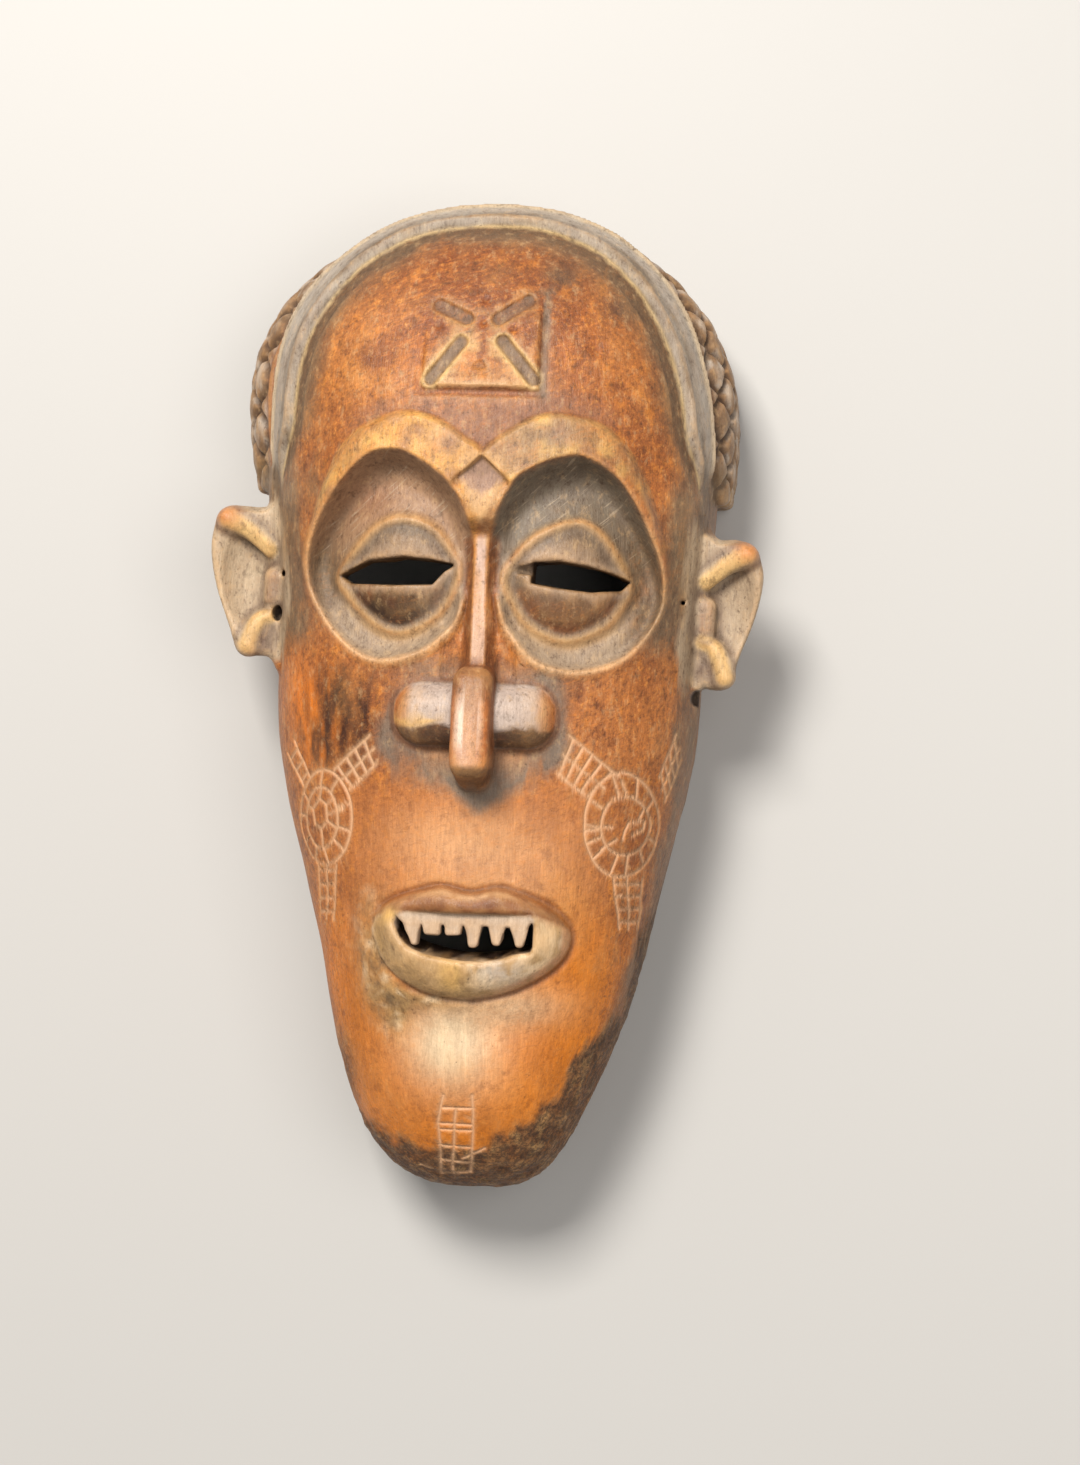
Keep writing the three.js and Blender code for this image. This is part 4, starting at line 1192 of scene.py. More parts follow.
def tint_face(paint):
    points, patch, blotch, dab = paint.points, paint.patch, paint.blotch, paint.dab
    x, y, z = points.T
    upright = value_noise(points * [1, 0.22, 1], 2.4)
    tongues = value_noise(points * [1, 0.3, 1] + 40, 3.2)
    # The right side of the face is painted grey, worn there and partly darkened as painted shade
    greyed_y, greyed_x = np.array(GREYED_AND_SHADED_SIDE).T
    greyed_and_shaded = smooth(-2.5, 2, x - np.interp(y, greyed_y, greyed_x) + 2 * patch + 1.2 * blotch)
    # Behind the ear the grey side goes on up to the hair.
    behind = smooth(66, 46, z)
    grey_top = 14 + 76 * behind
    greyed_and_shaded = greyed_and_shaded * smooth(grey_top, grey_top - 12, y + 5 * blotch * behind)
    paint.over(1, [
        ("forehead", smooth(70, 96, y)),
        ("amber", dab(-52, 120, 22, 26) * (0.55 + 0.4 * patch)),
        ("amber", dab(50, 118, 16, 28) * (0.3 + 0.3 * patch)),
        ("rust", dab(0, 182, 60, 14) * (0.75 + 0.3 * blotch), 0.6),
        ("smudge", dab(27, 165, 8, 7) * 1.2, 0.3),
        ("smudge", dab(51, 154, 7, 6) * 1.05, 0.4),
        ("rust", smooth(0.15, 0.6, patch) * smooth(84, 104, y) * 0.75, 0.7),
        ("smudge", dab(2, 167, 12, 3) * 0.4),
        ("smoky_pink", dab(1, 108, 21, 12) * 0.95, 0.3),
        ("smoky_pink", dab(24, 116, 12, 5) * 0.7, 0.3),
        ("under_nose", dab(0, -58, 34, 15) * 0.9, 0.5),
        ("under_nose", dab(8, -75, 30, 9) * 0.5, 0.5),
        ("jaw", smooth(-74, -112, y)),
        ("chin", dab(-7, -137, 20, 20) * 1.15, 0.2),
        ("chin", dab(18, -122, 20, 9) * 0.7, 0.4),
        ("singed", area(points, SINGED, 7, 4 * blotch) * (0.9 + 0.6 * upright), 0.3),
        ("flame", area(points, SINGED, 9) * smooth(0.05, 0.5, tongues) * smooth(-50, -64, x) * 0.9, 0.3),
        ("flame", dab(-73, -2, 7, 15) * (0.9 + 0.8 * tongues), 0.3),
        ("temple", greyed_and_shaded * smooth(-150, -128, y) * (0.78 + 0.25 * blotch), 0.3),
    ])
    # The lower face is rubbed smooth and even.
    paint.warm *= 1 - 0.45 * smooth(-22, -44, y) * smooth(60, 44, np.abs(x))
    # Grey dust on the ground about the nose, thickest towards its edge
    edge = distance_near(points, closed(DUSTY), 12, 60)
    dusty = smooth(3, -2, edge + 2.5 * patch + 1.5 * blotch) * (0.62 + 0.38 * hill(edge + 5, 6))
    rings = []
    for (ring_x, ring_y), (ring_rx, ring_ry) in [cheek["outer"] for cheek in CHEEKS.values()]:
        reach = np.hypot((x - ring_x) / ring_rx, (y - ring_y) / ring_ry)
        rings.append(("rust", smooth(1.05, 0.9, reach) * (z > 60) * 0.3, 0.6))
    paint.over(1, [
        ("amber", dab(38, -84, 9, 12) * 0.6),
        ("amber", dab(-52, -150, 14, 22) * 0.35),
        ("rust", dab(40, 112, 40, 8) * 0.2),
        ("dust_and_hollow_shade", dusty, 0.05),
        ("smudge", dab(-46, -29, 8, 6) * 0.5, 0.3),
        *rings,
        ("under_nose", dusty * dab(15, -24, 6, 4) * 0.8, 0.3),
        ("under_nose", dusty * dab(-14, -25, 5, 4) * 0.8, 0.3),
        ("socket_low", dab(21, 9, 18, 6) * 0.6, 0.2),
        ("socket_low", dab(-19, 10, 15, 6) * 0.8, 0.2),
    ])
    grit = value_noise(points, 2.8)
    paint.over(rubbed_ground(points), [
        ("rough_tan", 0.9 + 0.3 * blotch, 0.1),
        ("recess", smooth(0.1, 0.6, grit) * 0.65, 0.1),
        ("lower_lip", smooth(-0.1, -0.7, grit) * 0.7, 0.1),
    ])


def tint_eyes(paint):
    # Gives back where the scratches show, which is in the sockets' upper part.
    points, patch, blotch, dab = paint.points, paint.patch, paint.blotch, paint.dab
    x, y, z = points.T
    high = smooth(40, 85, y)
    daubs = value_noise(points + 60, 6)
    embers = value_noise(points * [1, 0.6, 1] + 20, 3)
    scratched = np.zeros(len(points))
    for side, eye in EYES.items():
        left = side < 0
        out = x * side
        mine = smooth(-1.5, 2, out)
        s, b, e = [distance_near(points, closed(eye[part]), 14, 60) for part in ("socket", "brow", "lens")]
        slit = distance_near(points, np.array(eye["slit"], float), 10, 60)
        ring = smooth(1.2, -1.2, np.minimum(b, s - SOCKET_RIM)) * smooth(-1, 0.6, s) * mine
        sunk = smooth(0.4, -2, s) * smooth(-0.6, 1.4, e) * mine
        inner = smooth(0.4, -1.6, e) * mine
        below = inner * smooth(44, 40, y + 0.8 * blotch) * smooth(-2.2, -4.8, e)
        gold = hill(s - 3.5, 4) * smooth(30, 44, out) * left
        over_brow = hill(b - 3.5, 4) * smooth(84, 100, y) * smooth(62, 40, out)
        paint.over(mine, [("smoky_pink", over_brow * 0.75, 0.3)])
        paint.over(ring, [
            ("brow_" + eye["name"], 0.35 + 0.6 * high, 0.6),
            ("diamond", left * dab(-12, 101, 9, 6) * 0.7, 0.2),
            ("amber", left * dab(-50, 96, 18, 14) * 0.5),
            ("brow_grey", (not left) * dab(27, 101, 12, 7) * (0.7 + 0.4 * blotch), 0.1),
            ("orange_edge", smooth(2.5, 0.5, np.abs(s - 0.6)) * smooth(30, 60, out) * 0.6),
            ("orange_edge", smooth(88, 62, y) * smooth(40, 60, out) * 0.5),
            ("lip_gold", np.maximum(gold, smooth(0.1, 0.6, daubs)) * high * 0.7),
            ("smoky_pink", smooth(-0.15, -0.65, daubs) * high * 0.65, 0.2),
            ("rust", hill(b + 2, 3) * smooth(34, 46, out) * smooth(78, 92, y) * 0.5),
        ])
        paint.over(sunk, [
            ("socket_low", 0.95, 0),
            ("socket_" + eye["name"], smooth(38, 66, y + 6 * patch) * 0.95, 0),
            ("rust", left * dab(-44, 76, 10, 8) * 0.35, 0),
            ("valley", smooth(44, 26, y + 3 * blotch) * 0.85, 0),
        ])
        paint.over(mine, [
            ("pale_edge", hill(s + 0.2, 1.3) * smooth(52, 24, y) * 0.8, 0.2),
            ("pale_edge", hill(s + 0.2, 1.0) * smooth(60, 68, out) * 0.6, 0.2),
        ])
        paint.over(inner, [("lens", 1, 0), ("lens_pale", dab(30 * side, 55.5, 16, 4) * 0.75, 0)])
        paint.over(below, [
            ("lid_" + eye["name"], 0.9 + 0.3 * blotch, 0.35),
            ("rust", smooth(0.1, 0.6, embers) * (0.8 if left else 0.3), 0.2),
            ("lens", left * smooth(-26, -20, x) * 0.8, 0),
            ("inside", left * dab(-42, 35, 12, 6) * (1.2 - 0.6 * embers), 0),
            ("lens", (not left) * dab(34, 41, 20, 3) * 0.7, 0),
        ])
        paint.over(1, [
            ("lens_rim", hill(e + 0.6, 2.0) * mine * (0.75 + 0.2 * blotch), 0.1),
            ("lens_rim", hill(e - 1.5, 2.0) * smooth(34, 24, y) * mine * 0.6, 0.1),
            ("lens_pale", inner * hill(slit - 1.6, 1.0) * 0.7, 0),
            # The slit's walls are painted near-black: painted shade of the hollow behind them
            ("inside", smooth(0.7, -0.1, slit) * smooth(114.5, 112, z + 0.0045 * x * x), 0),
        ])
        scratched = np.maximum(scratched, sunk * smooth(44, 60, y))
    v_half = 7.5 * smooth(60, 88, y)
    dx = np.abs(x - NOTCH["x"])
    v = smooth(v_half + 1.5, v_half - 1, dx) * smooth(58, 63, y) * smooth(96, 92, y)
    facet = smooth(0.6, -0.6, dx + np.abs(y - 84.6) * 1.1 - 8.8) * smooth(76, 80, y)
    paint.over(v, [("notch", smooth(58, 70, y), 0.1), ("rust", smooth(69.5, 64, y) * 0.95, 0.4)])
    paint.over(facet, [("diamond", 0.95, 0)])
    return scratched


def tint_nose(paint):
    points, blotch, dab = paint.points, paint.blotch, paint.dab
    x, y, z = points.T
    w, b = WINGS, BAR
    dx = np.abs(x - RIDGE["x"])
    # Painted shade on the ridge's two flanks, and a pale crest that is partly a painted highlight
    paint.over(smooth(64, 60, y) * smooth(0, 8, y), [
        ("side_shade", smooth(8, 5.5, dx) * smooth(2.2, 3.4, dx) * 0.85, 0.3),
        ("ridge", smooth(2.5, 1.2, dx - 0.6 * smooth(50, 20, y)) * 0.95, 0),
        ("upper_lip", smooth(3.4, 2.2, dx) * smooth(24, 8, y) * 0.6, 0.2),
    ])
    rounding = w["radius"] - w["flat"]
    beyond_x = np.maximum(np.abs(x - w["x"]) - w["reach"] + rounding, 0)
    beyond_y = np.maximum(np.abs(y - w["y"]) - w["flat"], 0)
    edge = np.hypot(beyond_x, beyond_y) - rounding
    level = z + 3 * (np.abs(x) / w["reach"]) ** 2
    on_wings = smooth(0.8, -0.6, edge) * smooth(w["z"] - 12, w["z"] - 6, level)
    # Painted shade where the ridge meets the bar and in a ring round the foot of the wings
    paint.over(1, [
        ("side_shade", smooth(17, 11, y) * smooth(6, 9, y) * smooth(9, 7, dx) * 0.85, 0.2),
        ("side_shade", hill(edge - 1.2, 1.4) * smooth(90, 96, z) * 0.6, 0.2),
    ])
    ragged = y + 2.2 * value_noise(points, 4)
    # The wings' pale colour is partly a painted highlight, and their lower third is painted dark, partly as
    # painted shade under them
    paint.over(on_wings, [
        ("wings", 1, 0),
        ("bar", smooth(23.5, 28, np.abs(x)) * 0.85, 0.5),
        ("orange_edge", smooth(27.5, 30.5, np.abs(x)) * 0.8, 0.5),
        ("lip_gold", hill(ragged + 10.6, 1.6) * smooth(-10, -16, x) * 0.7, 0),
        ("shade_and_dark_wood", smooth(-11.2, -13.4, ragged) * 0.95, 0.2),
    ])
    on_bar = smooth(b["half_width"] + 0.6, b["half_width"] - 0.3, np.abs(x - b["x"])) * smooth(12, 9, y)
    # On the bar: a pale middle that is partly a painted highlight, painted shade down its right side and on
    # its upper part, and a dark foot painted as the shade under it
    paint.over(on_bar * smooth(-37.5, -36, y) * smooth(113, 116, z), [
        ("bar", 1, 0.25),
        ("ridge", dab(-1, -11, 4.6, 15) * 0.95, 0),
        ("bar_pale_highlight", dab(-1.6, -12, 4.3, 15), 0),
        ("orange_edge", smooth(4.6, 6.8, np.abs(x - b["x"] + 0.6)) * 0.85, 0.5),
        ("side_shade", smooth(6.2, 7.6, x) * 0.8, 0.2),
        ("side_shade", smooth(-6, 4, y) * 0.9, 0.2),
        ("orange_edge", hill(y + 24, 3.5) * 0.5, 0.5),
        ("shade_and_dark_wood", smooth(-26.2, -28.6, y + 0.5 * blotch) * 0.95, 0.2),
    ])


def tint_mouth(paint):
    points, blotch, dab = paint.points, paint.blotch, paint.dab
    x, y, z = points.T
    lips = distance_near(points, closed(LIPS_OUTLINE), 10, 70)
    on_lips = smooth(0.6, -1.4, lips)
    turn_y = -85.5 - 0.4 * np.maximum(x - 26, 0) - 0.3 * np.maximum(-x - 29, 0)
    upper = smooth(-1.5, 1.2, y - turn_y)
    above_gum = hill(y - GUM_LINE_Y - 3.2, 3.4) * smooth(1, 5, np.abs(x + 1)) * smooth(26, 20, np.abs(x))
    # Painted shade in the groove round the lips
    paint.over(hill(lips - 1.0, 1.2), [("side_shade", 0.7 - 0.6 * rubbed_ground(points), 0.2)])
    # The upper lip's lower half, under its crest, is painted dark as painted shade, and a pale line on the
    # crest is a painted highlight
    paint.over(on_lips * upper, [
        ("upper_lip", 1, 0.2),
        ("side_shade", above_gum * (0.95 + 0.4 * blotch), 0.1),
        ("lip_crest_highlight", hill(lips + 1.8, 1.2) * dab(0, -80, 20, 20), 0),
        ("shade_and_dark_wood", smooth(GUM_LINE_Y + 4, GUM_LINE_Y + 0.5, y) * 0.3, 0),
        ("rust", smooth(-0.1, 0.6, value_noise(points, 3)) * 0.5, 0),
    ])
    grit = value_noise(points * [1, 0.8, 1] + 30, 2.6)
    paint.over(on_lips * (1 - upper), [
        ("lower_lip", 1, 0),
        ("rough_tan", 0.3 + 0.4 * smooth(12, -16, x) + 0.4 * blotch, 0),
        ("lip_gold", dab(-6, -111, 5, 9) * 0.9, 0),
        ("orange_edge", hill(lips + 1.4, 1.5) * smooth(0, 24, x) * 0.6, 0.3),
        ("rough_tan", hill(lips + 2, 3) * smooth(20, 0, x) * 0.7, 0),
        ("lip_grey", dab(13, -107, 9, 5) * 0.9, 0),
        ("rough_tan", dab(-22, -111, 13, 7) * 0.9, 0),
        ("rough_tan", smooth(0.1, 0.6, grit) * 0.75, 0),
        ("recess", smooth(0.3, 0.8, grit) * smooth(20, -16, x) * 0.6, 0),
    ])
    opening = distance_near(points, mouth_opening(), 8, 70)
    in_mouth = smooth(0.4, -0.5, opening)
    behind_teeth = z < TEETH_Z[0] - 1.5
    # The lower lip's wall inside the mouth is painted as dark as the hollow, and so is the mouth behind the
    # teeth: painted shade.
    wall = smooth(-1.5, -0.9, opening) * smooth(0.2, -0.3, opening)
    wall = wall * smooth(111.2, 110, z) * smooth(-90, -93, y)
    paint.over(1, [
        ("lip_gold", dab(-31.5, -87, 2.6, 2.8) * 0.9, 0),
        ("teeth", in_mouth * (z > TEETH_Z[0] - 1.5) * (z < TEETH_Z[1] + 3), 0),
        ("inside", in_mouth * behind_teeth, 0),
        ("inside", wall, 0),
    ])


def tint_cross(paint):
    x, y, z = paint.points.T
    outside = outside_cross(x, y)
    near = (outside < 8) & (z > 80)
    bars = np.full(len(x), FAR)
    bars[near] = np.minimum.reduce([line_distance(x[near], y[near], bar) for bar in CROSS_BARS])
    over_foot = y - CROSS["low"]
    dx = np.abs(x - CROSS["x"])
    on_front = smooth(80, 90, z)
    paint.over(1, [
        ("brow_left", smooth(1, -1.5, outside) * smooth(138, 122, y) * on_front * 0.35, 0.8),
        ("cross_bar", smooth(3.0, 2.0, bars) * 0.9, 0),
        ("band_edge", hill(bars - 3.3, 0.9) * (0.3 + 0.65 * smooth(150, 138, y)), 0),
    ])
    paint.over(on_front, [
        ("cross_bar", smooth(0.2, 1, outside) * smooth(5, 3, outside) * smooth(18, 22, x) * 0.8, 0),
        ("rust", smooth(1, -2, outside) * smooth(136, 150, y) * 0.35, 0.9),
        ("pale_edge", hill(over_foot - 1.2, 1.1) * smooth(18, 14, dx) * 0.85, 0),
        # A dark line just under the cross's lower edge is a painted shadow
        ("side_shade", hill(over_foot + 1.2, 0.9) * smooth(20, 16, dx) * 0.6, 0),
    ])


def tint_band_and_hair(paint, outside):
    points, patch, blotch = paint.points, paint.patch, paint.blotch
    x, y, z = points.T
    band_low, band_high = band_edges(y)
    above = z - band_high
    side_strip = smooth(21.5, 11, above + 2.2 * patch + 1.5 * blotch) * smooth(-12, -4, above)
    shade = smooth(-0.4, 0.6, above) * smooth(16, 5, above + 2 * patch + 1.6 * blotch)
    # Streaks that run along the band
    middle_y = HAIR["middle_y"]
    along = np.arctan2(y - middle_y, x) * HAIR["mean_radius"]
    streak = value_noise(np.stack([along / 8, z, np.hypot(x, y - middle_y)], 1), 1.7)
    outer_line = hill(z - band_low - 2.0, 1.9) * smooth(84, 98, y) * (0.85 + 0.4 * streak)
    paint.over(1, [
        ("recess", shade * smooth(78, 90, y) * 0.92, 0.1),
        ("temple", side_strip * smooth(92, 80, y) * smooth(12, 26, y) * 0.95, 0.2),
        ("recess", paint.dab(-68, 82, 5, 9) * smooth(70, 80, z) * 0.75, 0.2),
    ])
    paint.over(smooth(band_low - 0.4, band_low + 0.4, z) * smooth(1.3, 0.5, above) * smooth(79, 90, y), [
        ("band", 1, 0),
        ("lip_grey", smooth(0.0, 0.6, streak) * 0.75, 0),
        ("temple", smooth(-0.1, -0.7, streak) * 0.7, 0),
        ("hair_rim", hill(z - band_low - 0.3, 1.1) * 0.85, 0),
        ("band_edge", outer_line, 0),
        ("temple", smooth(-8, -2, above) * 0.4, 0),
        ("lip_grey", smooth(-3, -8, above) * 0.6, 0),
        ("band_edge", hill(above - 0.5, 0.6) * 0.7, 0),
    ])
    # The cuts between the hair's lozenges are painted dark as painted shade, and the lozenges' faces paler,
    # partly as a painted highlight
    cuts = lozenges(x, y, z)
    flecks = value_noise(points * [1, 0.7, 1] + 90, 3.4)
    paint.over(smooth(band_low + 0.4, band_low - 0.4, z) * smooth(79, 82, y) * outside, [
        ("hair", 1, 0.15),
        ("lip_grey", smooth(0.4, 0.0, cuts) * smooth(-0.2, 0.6, blotch) * 0.45, 0.1),
        ("lip_grey", smooth(0.05, 0.5, flecks) * 0.8, 0),
        ("shade_and_dark_wood", smooth(-0.1, -0.6, flecks) * 0.7, 0),
        ("shade_and_dark_wood", smooth(0.7, 2.6, cuts) * 0.8, 0),
        ("hair_rim", hill(z - HAIR["top_z"] + 1.2, 2.2) * 0.95, 0.3),
        ("ear_cream", smooth(100, 84, y) * smooth(-0.1, 0.5, blotch) * 0.35, 0.3),
    ])


def tint_ears(paint):
    blotch = paint.blotch
    x, y, z = paint.points.T
    for side, ear in EARS.items():
        out = x * side
        root_y, root = np.array(ear["root"]).T
        low_y, high_y = root_y[0], root_y[-1]
        on_ear = smooth(-1, 1.6, out - np.interp(y, root_y, root) + 0.9 * blotch) * smooth(48, 54, z)
        on_ear = on_ear * smooth(low_y - 5, low_y - 1, y) * smooth(high_y + 3, high_y, y)
        gap = smooth(83, 87, out) * smooth(high_y - 1, high_y + 3, y) * smooth(96, 88, y) * smooth(48, 54, z)
        layers = [("ear", 1, 0.1), ("valley", (side > 0) * 0.45, 0)]
        near = on_ear > 0.01
        for part, _, _, _, tint, reach in EAR_BARS:
            away = np.full(len(x), FAR)
            away[near] = line_distance(out[near], y[near], smooth_curve(ear[part], False, 4))
            layers.append(("ear_shadow", hill(away - reach - 1.2, 1.5) * 0.6, 0))
            layers.append((tint, smooth(reach, reach - 2.2, away) * smooth(66, 69, z) * 0.9, 0.2))
        (tip_x, tip_y), (lobe_x, lobe_y) = ear["helix"][0], ear["lobe"][0]
        layers.append(("orange_edge", spot(out, y, tip_x + 1, tip_y + 2, 5, 4.5) * 0.9, 0.3))
        shadow = spot(out, y, lobe_x - 8.5, lobe_y + 2.5, 4.5, 5) * (1.1 + 0.4 * blotch)
        layers.append(("ear_shadow", shadow, 0))
        paint.over(gap, [("temple", 0.9, 0.1)])
        paint.over(on_ear, layers)


def tint_cord_holes(paint):
    # The holes are painted near-black inside: painted shade
    x, y, z = paint.points.T
    for hole in CORD_HOLES:
        rx, ry = hole["radii"]
        radius = np.hypot((x - hole["x"]) / rx, (y - hole["y"]) / ry)
        paint.over(z > hole["floor"] - 2, [("inside", smooth(1.15, 0.95, radius), 0)])


def paint_of(points, normals):
    # The wood's colour at each point, with painted shade and highlights in places, before grain, flecks, dust
    # and rubbing
    outside = outside_share(points, normals)
    paint = Paint(points, "cheek")
    tint_face(paint)
    scratched = tint_eyes(paint)
    tint_nose(paint)
    tint_mouth(paint)
    tint_cross(paint)
    tint_band_and_hair(paint, outside)
    tint_ears(paint)
    tint_cord_holes(paint)
    paint.over(worn_chin(points) * outside, [
        ("worn", 0.85, 0.25),
        ("rough_tan", smooth(0.2, 0.7, value_noise(points, 2.6)) * 0.7, 0.2),
        ("inside", smooth(-0.2, -0.7, value_noise(points, 3.2)) * 0.6, 0.1),
    ])
    # The inner surface of the hollow is painted near-black: painted shade
    paint.over(1 - outside, [("inside", 1, 0)])
    return paint, scratched


def mark(mesh, name, values):
    # Stores a number or a colour at each point of the mesh for the material to read.
    if values.ndim == 1:
        layer = mesh.attributes.new(name, "FLOAT", "POINT")
        layer.data.foreach_set("value", values.astype(np.float32))
        return
    layer = mesh.attributes.new(name, "FLOAT_COLOR", "POINT")
    full = np.hstack([values, np.ones((len(values), 1))])
    layer.data.foreach_set("color", full.astype(np.float32).ravel())


def mark_wear(mesh):
    points, normals = points_of(mesh), normals_of(mesh)
    edges = numbers_of(mesh.edges, "vertices", 2, np.int32)
    near, wide = [hollowness(points, normals, edges, turns) for turns in (4, 24)]
    # Darker in the hollows: dust there, and partly painted shade. Lighter on the ridges: rubbed wear there,
    # and partly a painted highlight.
    dust_and_hollow_shade = smooth(0.06, 0.5, near) * 0.6 + smooth(0.5, 3.0, wide) * 0.8
    rub_and_sheen = smooth(0.04, 0.35, -near) * 0.7 + smooth(0.4, 2.4, -wide) * 0.6
    paint, scratched = paint_of(points, normals)
    x, y, _ = points.T
    smooth_face = smooth(-20, -40, y) * smooth(64, 50, np.abs(x)) * (1 - rubbed_ground(points))
    marks = {
        "dust_and_hollow_shade": np.clip(dust_and_hollow_shade, 0, 1),
        "rub_and_sheen": np.clip(rub_and_sheen, 0, 1),
        "rough_ground": worn_chin(points),
        "scratched": scratched,
        "grimy": 1 - 0.75 * smooth_face,
        "warm": paint.warm,
        "tint": paint.colour,
    }
    for name, values in marks.items():
        mark(mesh, name, values)


# Materials

def add(tree, kind, settings=None, links=None):
    # Adds a node, with its settings and what its sockets are linked to or set to.
    node = tree.nodes.new(kind)
    for name, value in (settings or {}).items():
        setattr(node, name, value)
    for socket, source in (links or {}).items():
        if isinstance(source, bpy.types.NodeSocket):
            tree.links.new(source, node.inputs[socket])
        else:
            node.inputs[socket].default_value = source
    return node


def mixed(tree, amount, a, b):
    return add(tree, "ShaderNodeMix", {"data_type": "RGBA"}, {0: amount, 6: a, 7: b}).outputs[2]


def ramp(tree, value, low, high, a=0.0, b=1.0):
    sockets = {"Value": value, "From Min": low, "From Max": high, "To Min": a, "To Max": b}
    return add(tree, "ShaderNodeMapRange", {"interpolation_type": "SMOOTHSTEP"}, sockets).outputs[0]


def maths(tree, how, a, b):
    return add(tree, "ShaderNodeMath", {"operation": how}, {0: a, 1: b}).outputs[0]


def colour(code):
    return (*linear(code), 1)


# Noise in the wood: size in mm across the grain, how many times longer along it, detail and
# roughness, then its turn, its distortion and how many times longer it is into the wood
PATTERNS = {
    "fibres": (0.8, 9, 3.0, 0.6),
    "streaks": (4.5, 7, 4.0, 0.62, 0.0, 0.5),
    "patches": (26, 1.5, 4.0, 0.6),
    "mottle": (6.5, 1.5, 6.0, 0.72),
    "flecks": (1.9, 1.5, 5.0, 0.75),
    "specks": (1.6, 1.2, 2.0, 0.7),
    "scuffs": (0.7, 12, 3.0, 0.7),
    "knife": (0.6, 26, 1.5, 0.5, 0.85, 0.3, 30),
    "grime": (3.2, 1.8, 5.0, 0.7),
    "strokes": (1.2, 4, 3.0, 0.65, 1.25, 0.6),
}
# Colours over the painted tint, from the first to the last: the mark they are held to, the
# pattern, its values at the start and end of the change, the amounts there, and the colour
WOOD_LAYERS = [
    ("warm", "patches", 0.46, 0.64, 0, 0.5, "#7E3E1A"),
    ("warm", "mottle", 0.5, 0.68, 0, 0.65, "#DC8834"),
    ("warm", "strokes", 0.52, 0.68, 0, 0.55, "#D98238"),
    ("warm", "strokes", 0.48, 0.32, 0, 0.5, "#552A14"),
    ("warm", "mottle", 0.48, 0.32, 0, 0.75, "#6A3316"),
    ("warm", "flecks", 0.54, 0.7, 0, 0.6, "#E89E4E"),
    ("grimy", "flecks", 0.47, 0.3, 0, 0.6, "#3E2416"),
    ("grimy", "grime", 0.52, 0.7, 0, 0.3, "#DDB684"),
    ("grimy", "grime", 0.48, 0.3, 0, 0.46, "#3A281A"),
    (None, "streaks", 0.42, 0.66, 0.16, 0, "#54301C"),
    (None, "fibres", 0.4, 0.6, 0.13, 0, "#3C2213"),
    (None, "specks", 0.68, 0.76, 0, 0.5, "#2A180E"),
    # Lighter over the ridges, rubbed wear and partly a painted highlight; darker in the hollows, dust and
    # partly painted shade
    ("rub_and_sheen", "mottle", 0.3, 0.6, 0.077, 0.22, "#E8B274"),
    ("dust_and_hollow_shade", "mottle", 0.3, 0.65, 0.225, 0.45, "#54473A"),
    ("rough_ground", "specks", 0.4, 0.6, 0, 0.6, "#2C2018"),
]


def carved_wood():
    # A dense red-brown hardwood, cut with an adze and knife, stained and then handled for years: rubbed,
    # half-glossy ridges, partly lightened as a painted highlight, dust and smoke in the hollows, partly
    # darkened as painted shade, grain along the face.
    material = bpy.data.materials.new("patinated_wood")
    material.use_nodes = True
    tree = material.node_tree
    tree.nodes.clear()
    place = add(tree, "ShaderNodeTexCoord").outputs["Object"]

    def pattern(size, stretch, detail, roughness, turn=0.0, distortion=0.0, through=1.0):
        per_metre = 1000 / size
        turned = add(tree, "ShaderNodeMapping", {}, {"Vector": place, "Rotation": (0, 0, turn)}).outputs[0]
        scale = (per_metre, per_metre / stretch, per_metre / through)
        mapping = add(tree, "ShaderNodeMapping", {}, {"Vector": turned, "Scale": scale})
        links = {"Vector": mapping.outputs[0], "Scale": 1.0, "Detail": detail, "Roughness": roughness}
        links["Distortion"] = distortion
        return add(tree, "ShaderNodeTexNoise", {}, links).outputs["Fac"]

    def attribute(name):
        node = add(tree, "ShaderNodeAttribute", {"attribute_name": name})
        return node.outputs["Color"] if name == "tint" else node.outputs["Fac"]

    def times(a, b):
        return maths(tree, "MULTIPLY", a, b)

    noise = {name: pattern(*settings) for name, settings in PATTERNS.items()}
    marks = {name: attribute(name) for name in ("warm", "grimy", "dust_and_hollow_shade", "rub_and_sheen", "rough_ground", "scar")}
    wood = attribute("tint")
    for held_to, name, low, high, at_low, at_high, code in WOOD_LAYERS:
        amount = ramp(tree, noise[name], low, high, at_low, at_high)
        if held_to:
            amount = times(marks[held_to], amount)
        wood = mixed(tree, amount, wood, colour(code))
    lines = times(attribute("scratched"), ramp(tree, noise["knife"], 0.6, 0.7, 0, 0.6))
    lines = times(lines, ramp(tree, noise["mottle"], 0.42, 0.6, 0.1, 1))
    wood = mixed(tree, lines, wood, colour("#B09C84"))
    wood = mixed(tree, times(marks["scar"], 0.8), wood, colour("#D8AC84"))

    gloss = ramp(tree, noise["scuffs"], 0.3, 0.7, 0.38, 0.54)
    for name, share in (("dust_and_hollow_shade", 0.26), ("rough_ground", 0.2), ("rub_and_sheen", -0.08)):
        gloss = maths(tree, "ADD", gloss, times(marks[name], share))

    height = times(times(noise["specks"], marks["rough_ground"]), 1.6)
    for name, share in (("fibres", 0.4), ("scuffs", 0.25), ("mottle", 0.9), ("flecks", 0.5)):
        height = maths(tree, "ADD", height, times(noise[name], share))
    bump = add(tree, "ShaderNodeBump", {}, {"Strength": 0.8, "Distance": 0.0006, "Height": height})
    sockets = {"Base Color": wood, "Roughness": gloss, "Normal": bump.outputs[0], "IOR": 1.42}
    shader = add(tree, "ShaderNodeBsdfPrincipled", {}, sockets)
    add(tree, "ShaderNodeOutputMaterial", {}, {"Surface": shader.outputs[0]})
    return material


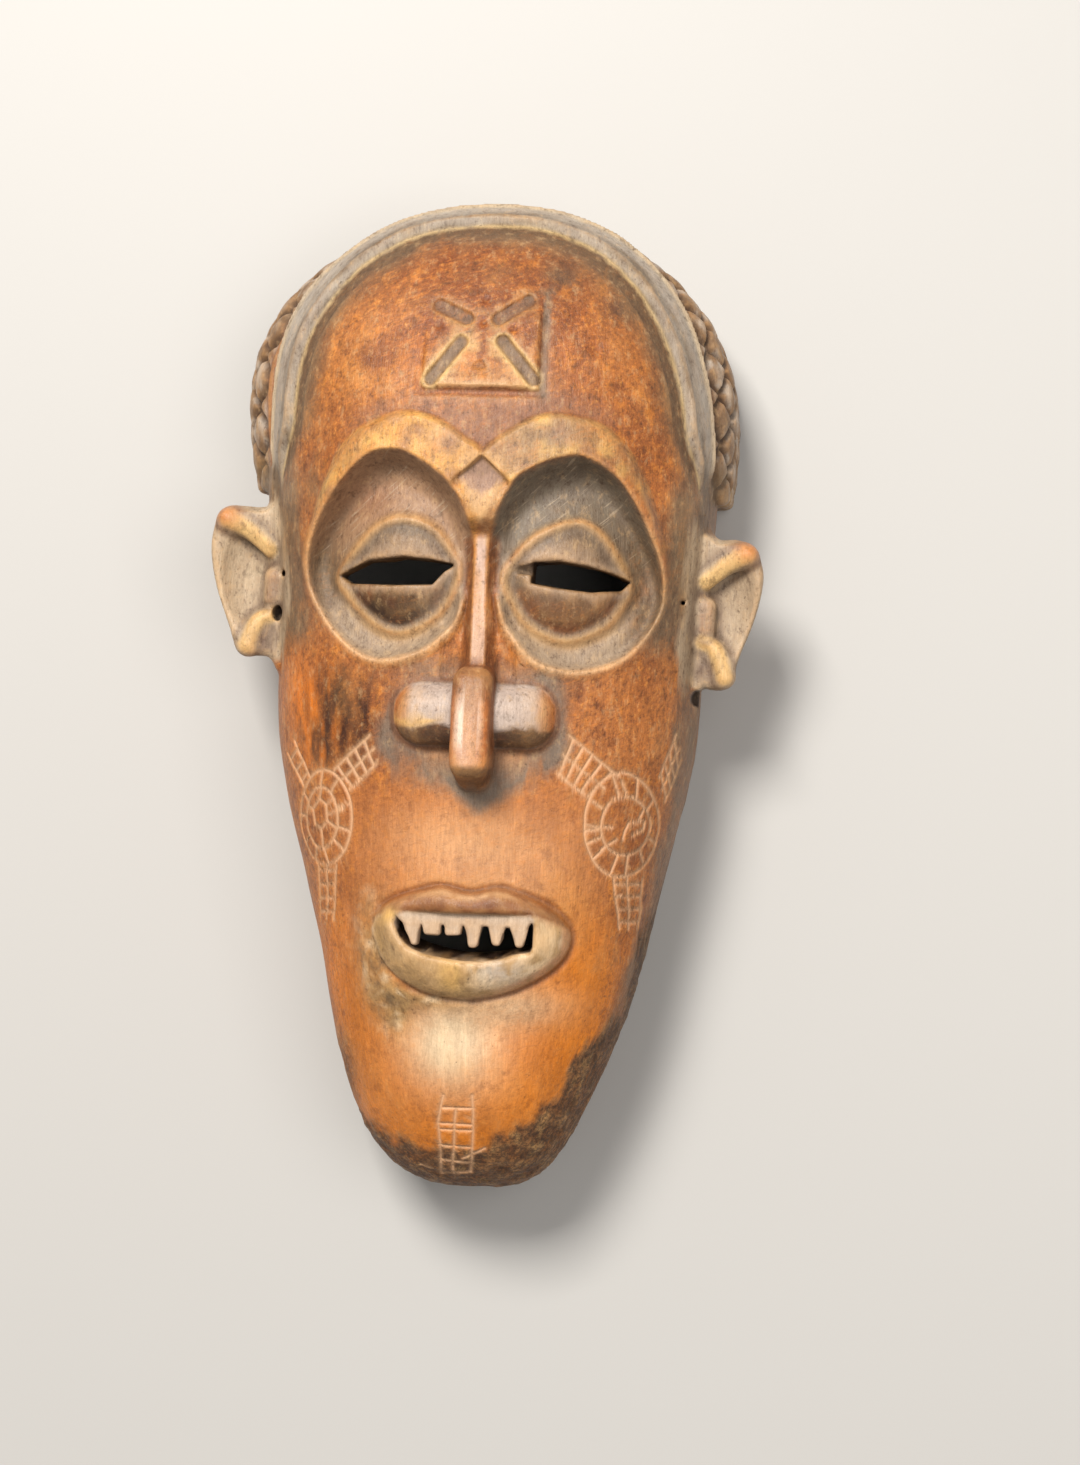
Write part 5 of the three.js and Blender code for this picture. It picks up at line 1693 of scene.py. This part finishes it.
field = carve()
points, faces = surface(field)
del field
mask = thinned(mesh_object("rough_mask", points, faces), TRIANGLES, "thin_mask")
carve_unevenness(mask.data)
mask = cut_scars(mask, "face_mask")
mark_wear(mask.data)
mask.data.polygons.foreach_set("use_smooth", [True] * len(mask.data.polygons))
mask.data.materials.append(carved_wood())

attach(mask, "root")
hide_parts(NODE)

# Floor
floor_mesh = bpy.data.meshes.new("floor")
floor_mesh.from_pydata([(-3, -3, 0), (3, -3, 0), (3, 3, 0), (-3, 3, 0)], [], [(0, 1, 2, 3)])
floor = placed("floor", floor_mesh)
paper = bpy.data.materials.new("pale paper")
paper.use_nodes = True
paper.node_tree.nodes["Principled BSDF"].inputs["Base Color"].default_value = (0.5, 0.49, 0.475, 1)
floor_mesh.materials.append(paper)

# Camera
YAW = math.radians(4.6)
ROLL = math.radians(1.9)
AIM = Vector((21.8, -13.4, 60)) * MM
DISTANCE = 1.3
LENS = 78.7
back = Vector((math.sin(YAW), 0, math.cos(YAW)))
across = Vector((math.cos(YAW), 0, -math.sin(YAW)))
upward = Vector((0, 1, 0))
right = across * math.cos(ROLL) + upward * math.sin(ROLL)
up = upward * math.cos(ROLL) - across * math.sin(ROLL)
camera_data = bpy.data.cameras.new("camera")
camera_data.lens = LENS
camera_data.sensor_width = 36
camera = placed("camera", camera_data)
turn = Matrix((right, up, back)).transposed().to_4x4()
camera.matrix_world = Matrix.Translation(AIM + back * DISTANCE) @ turn
bpy.context.scene.camera = camera


# Lights

def area_light(name, place, size, power, colour=(1, 1, 1)):
    data = bpy.data.lights.new(name, "AREA")
    data.energy = power
    data.size = size
    data.color = colour
    light = placed(name, data)
    light.location = place
    light.rotation_euler = (Vector((0, 0, 0.05)) - Vector(place)).to_track_quat("-Z", "Y").to_euler()


area_light("key", (-0.6, 1.45, 2.6), 0.9, 112, (1, 0.96, 0.9))
area_light("fill", (1.0, 0.1, 2.4), 1.4, 22, (1, 0.97, 0.93))
world = bpy.data.worlds.new("world")
world.use_nodes = True
sky = world.node_tree.nodes["Background"].inputs
sky["Color"].default_value = (1, 0.97, 0.94, 1)
sky["Strength"].default_value = 0.3
bpy.context.scene.world = world
bpy.context.scene.view_settings.view_transform = "Standard"
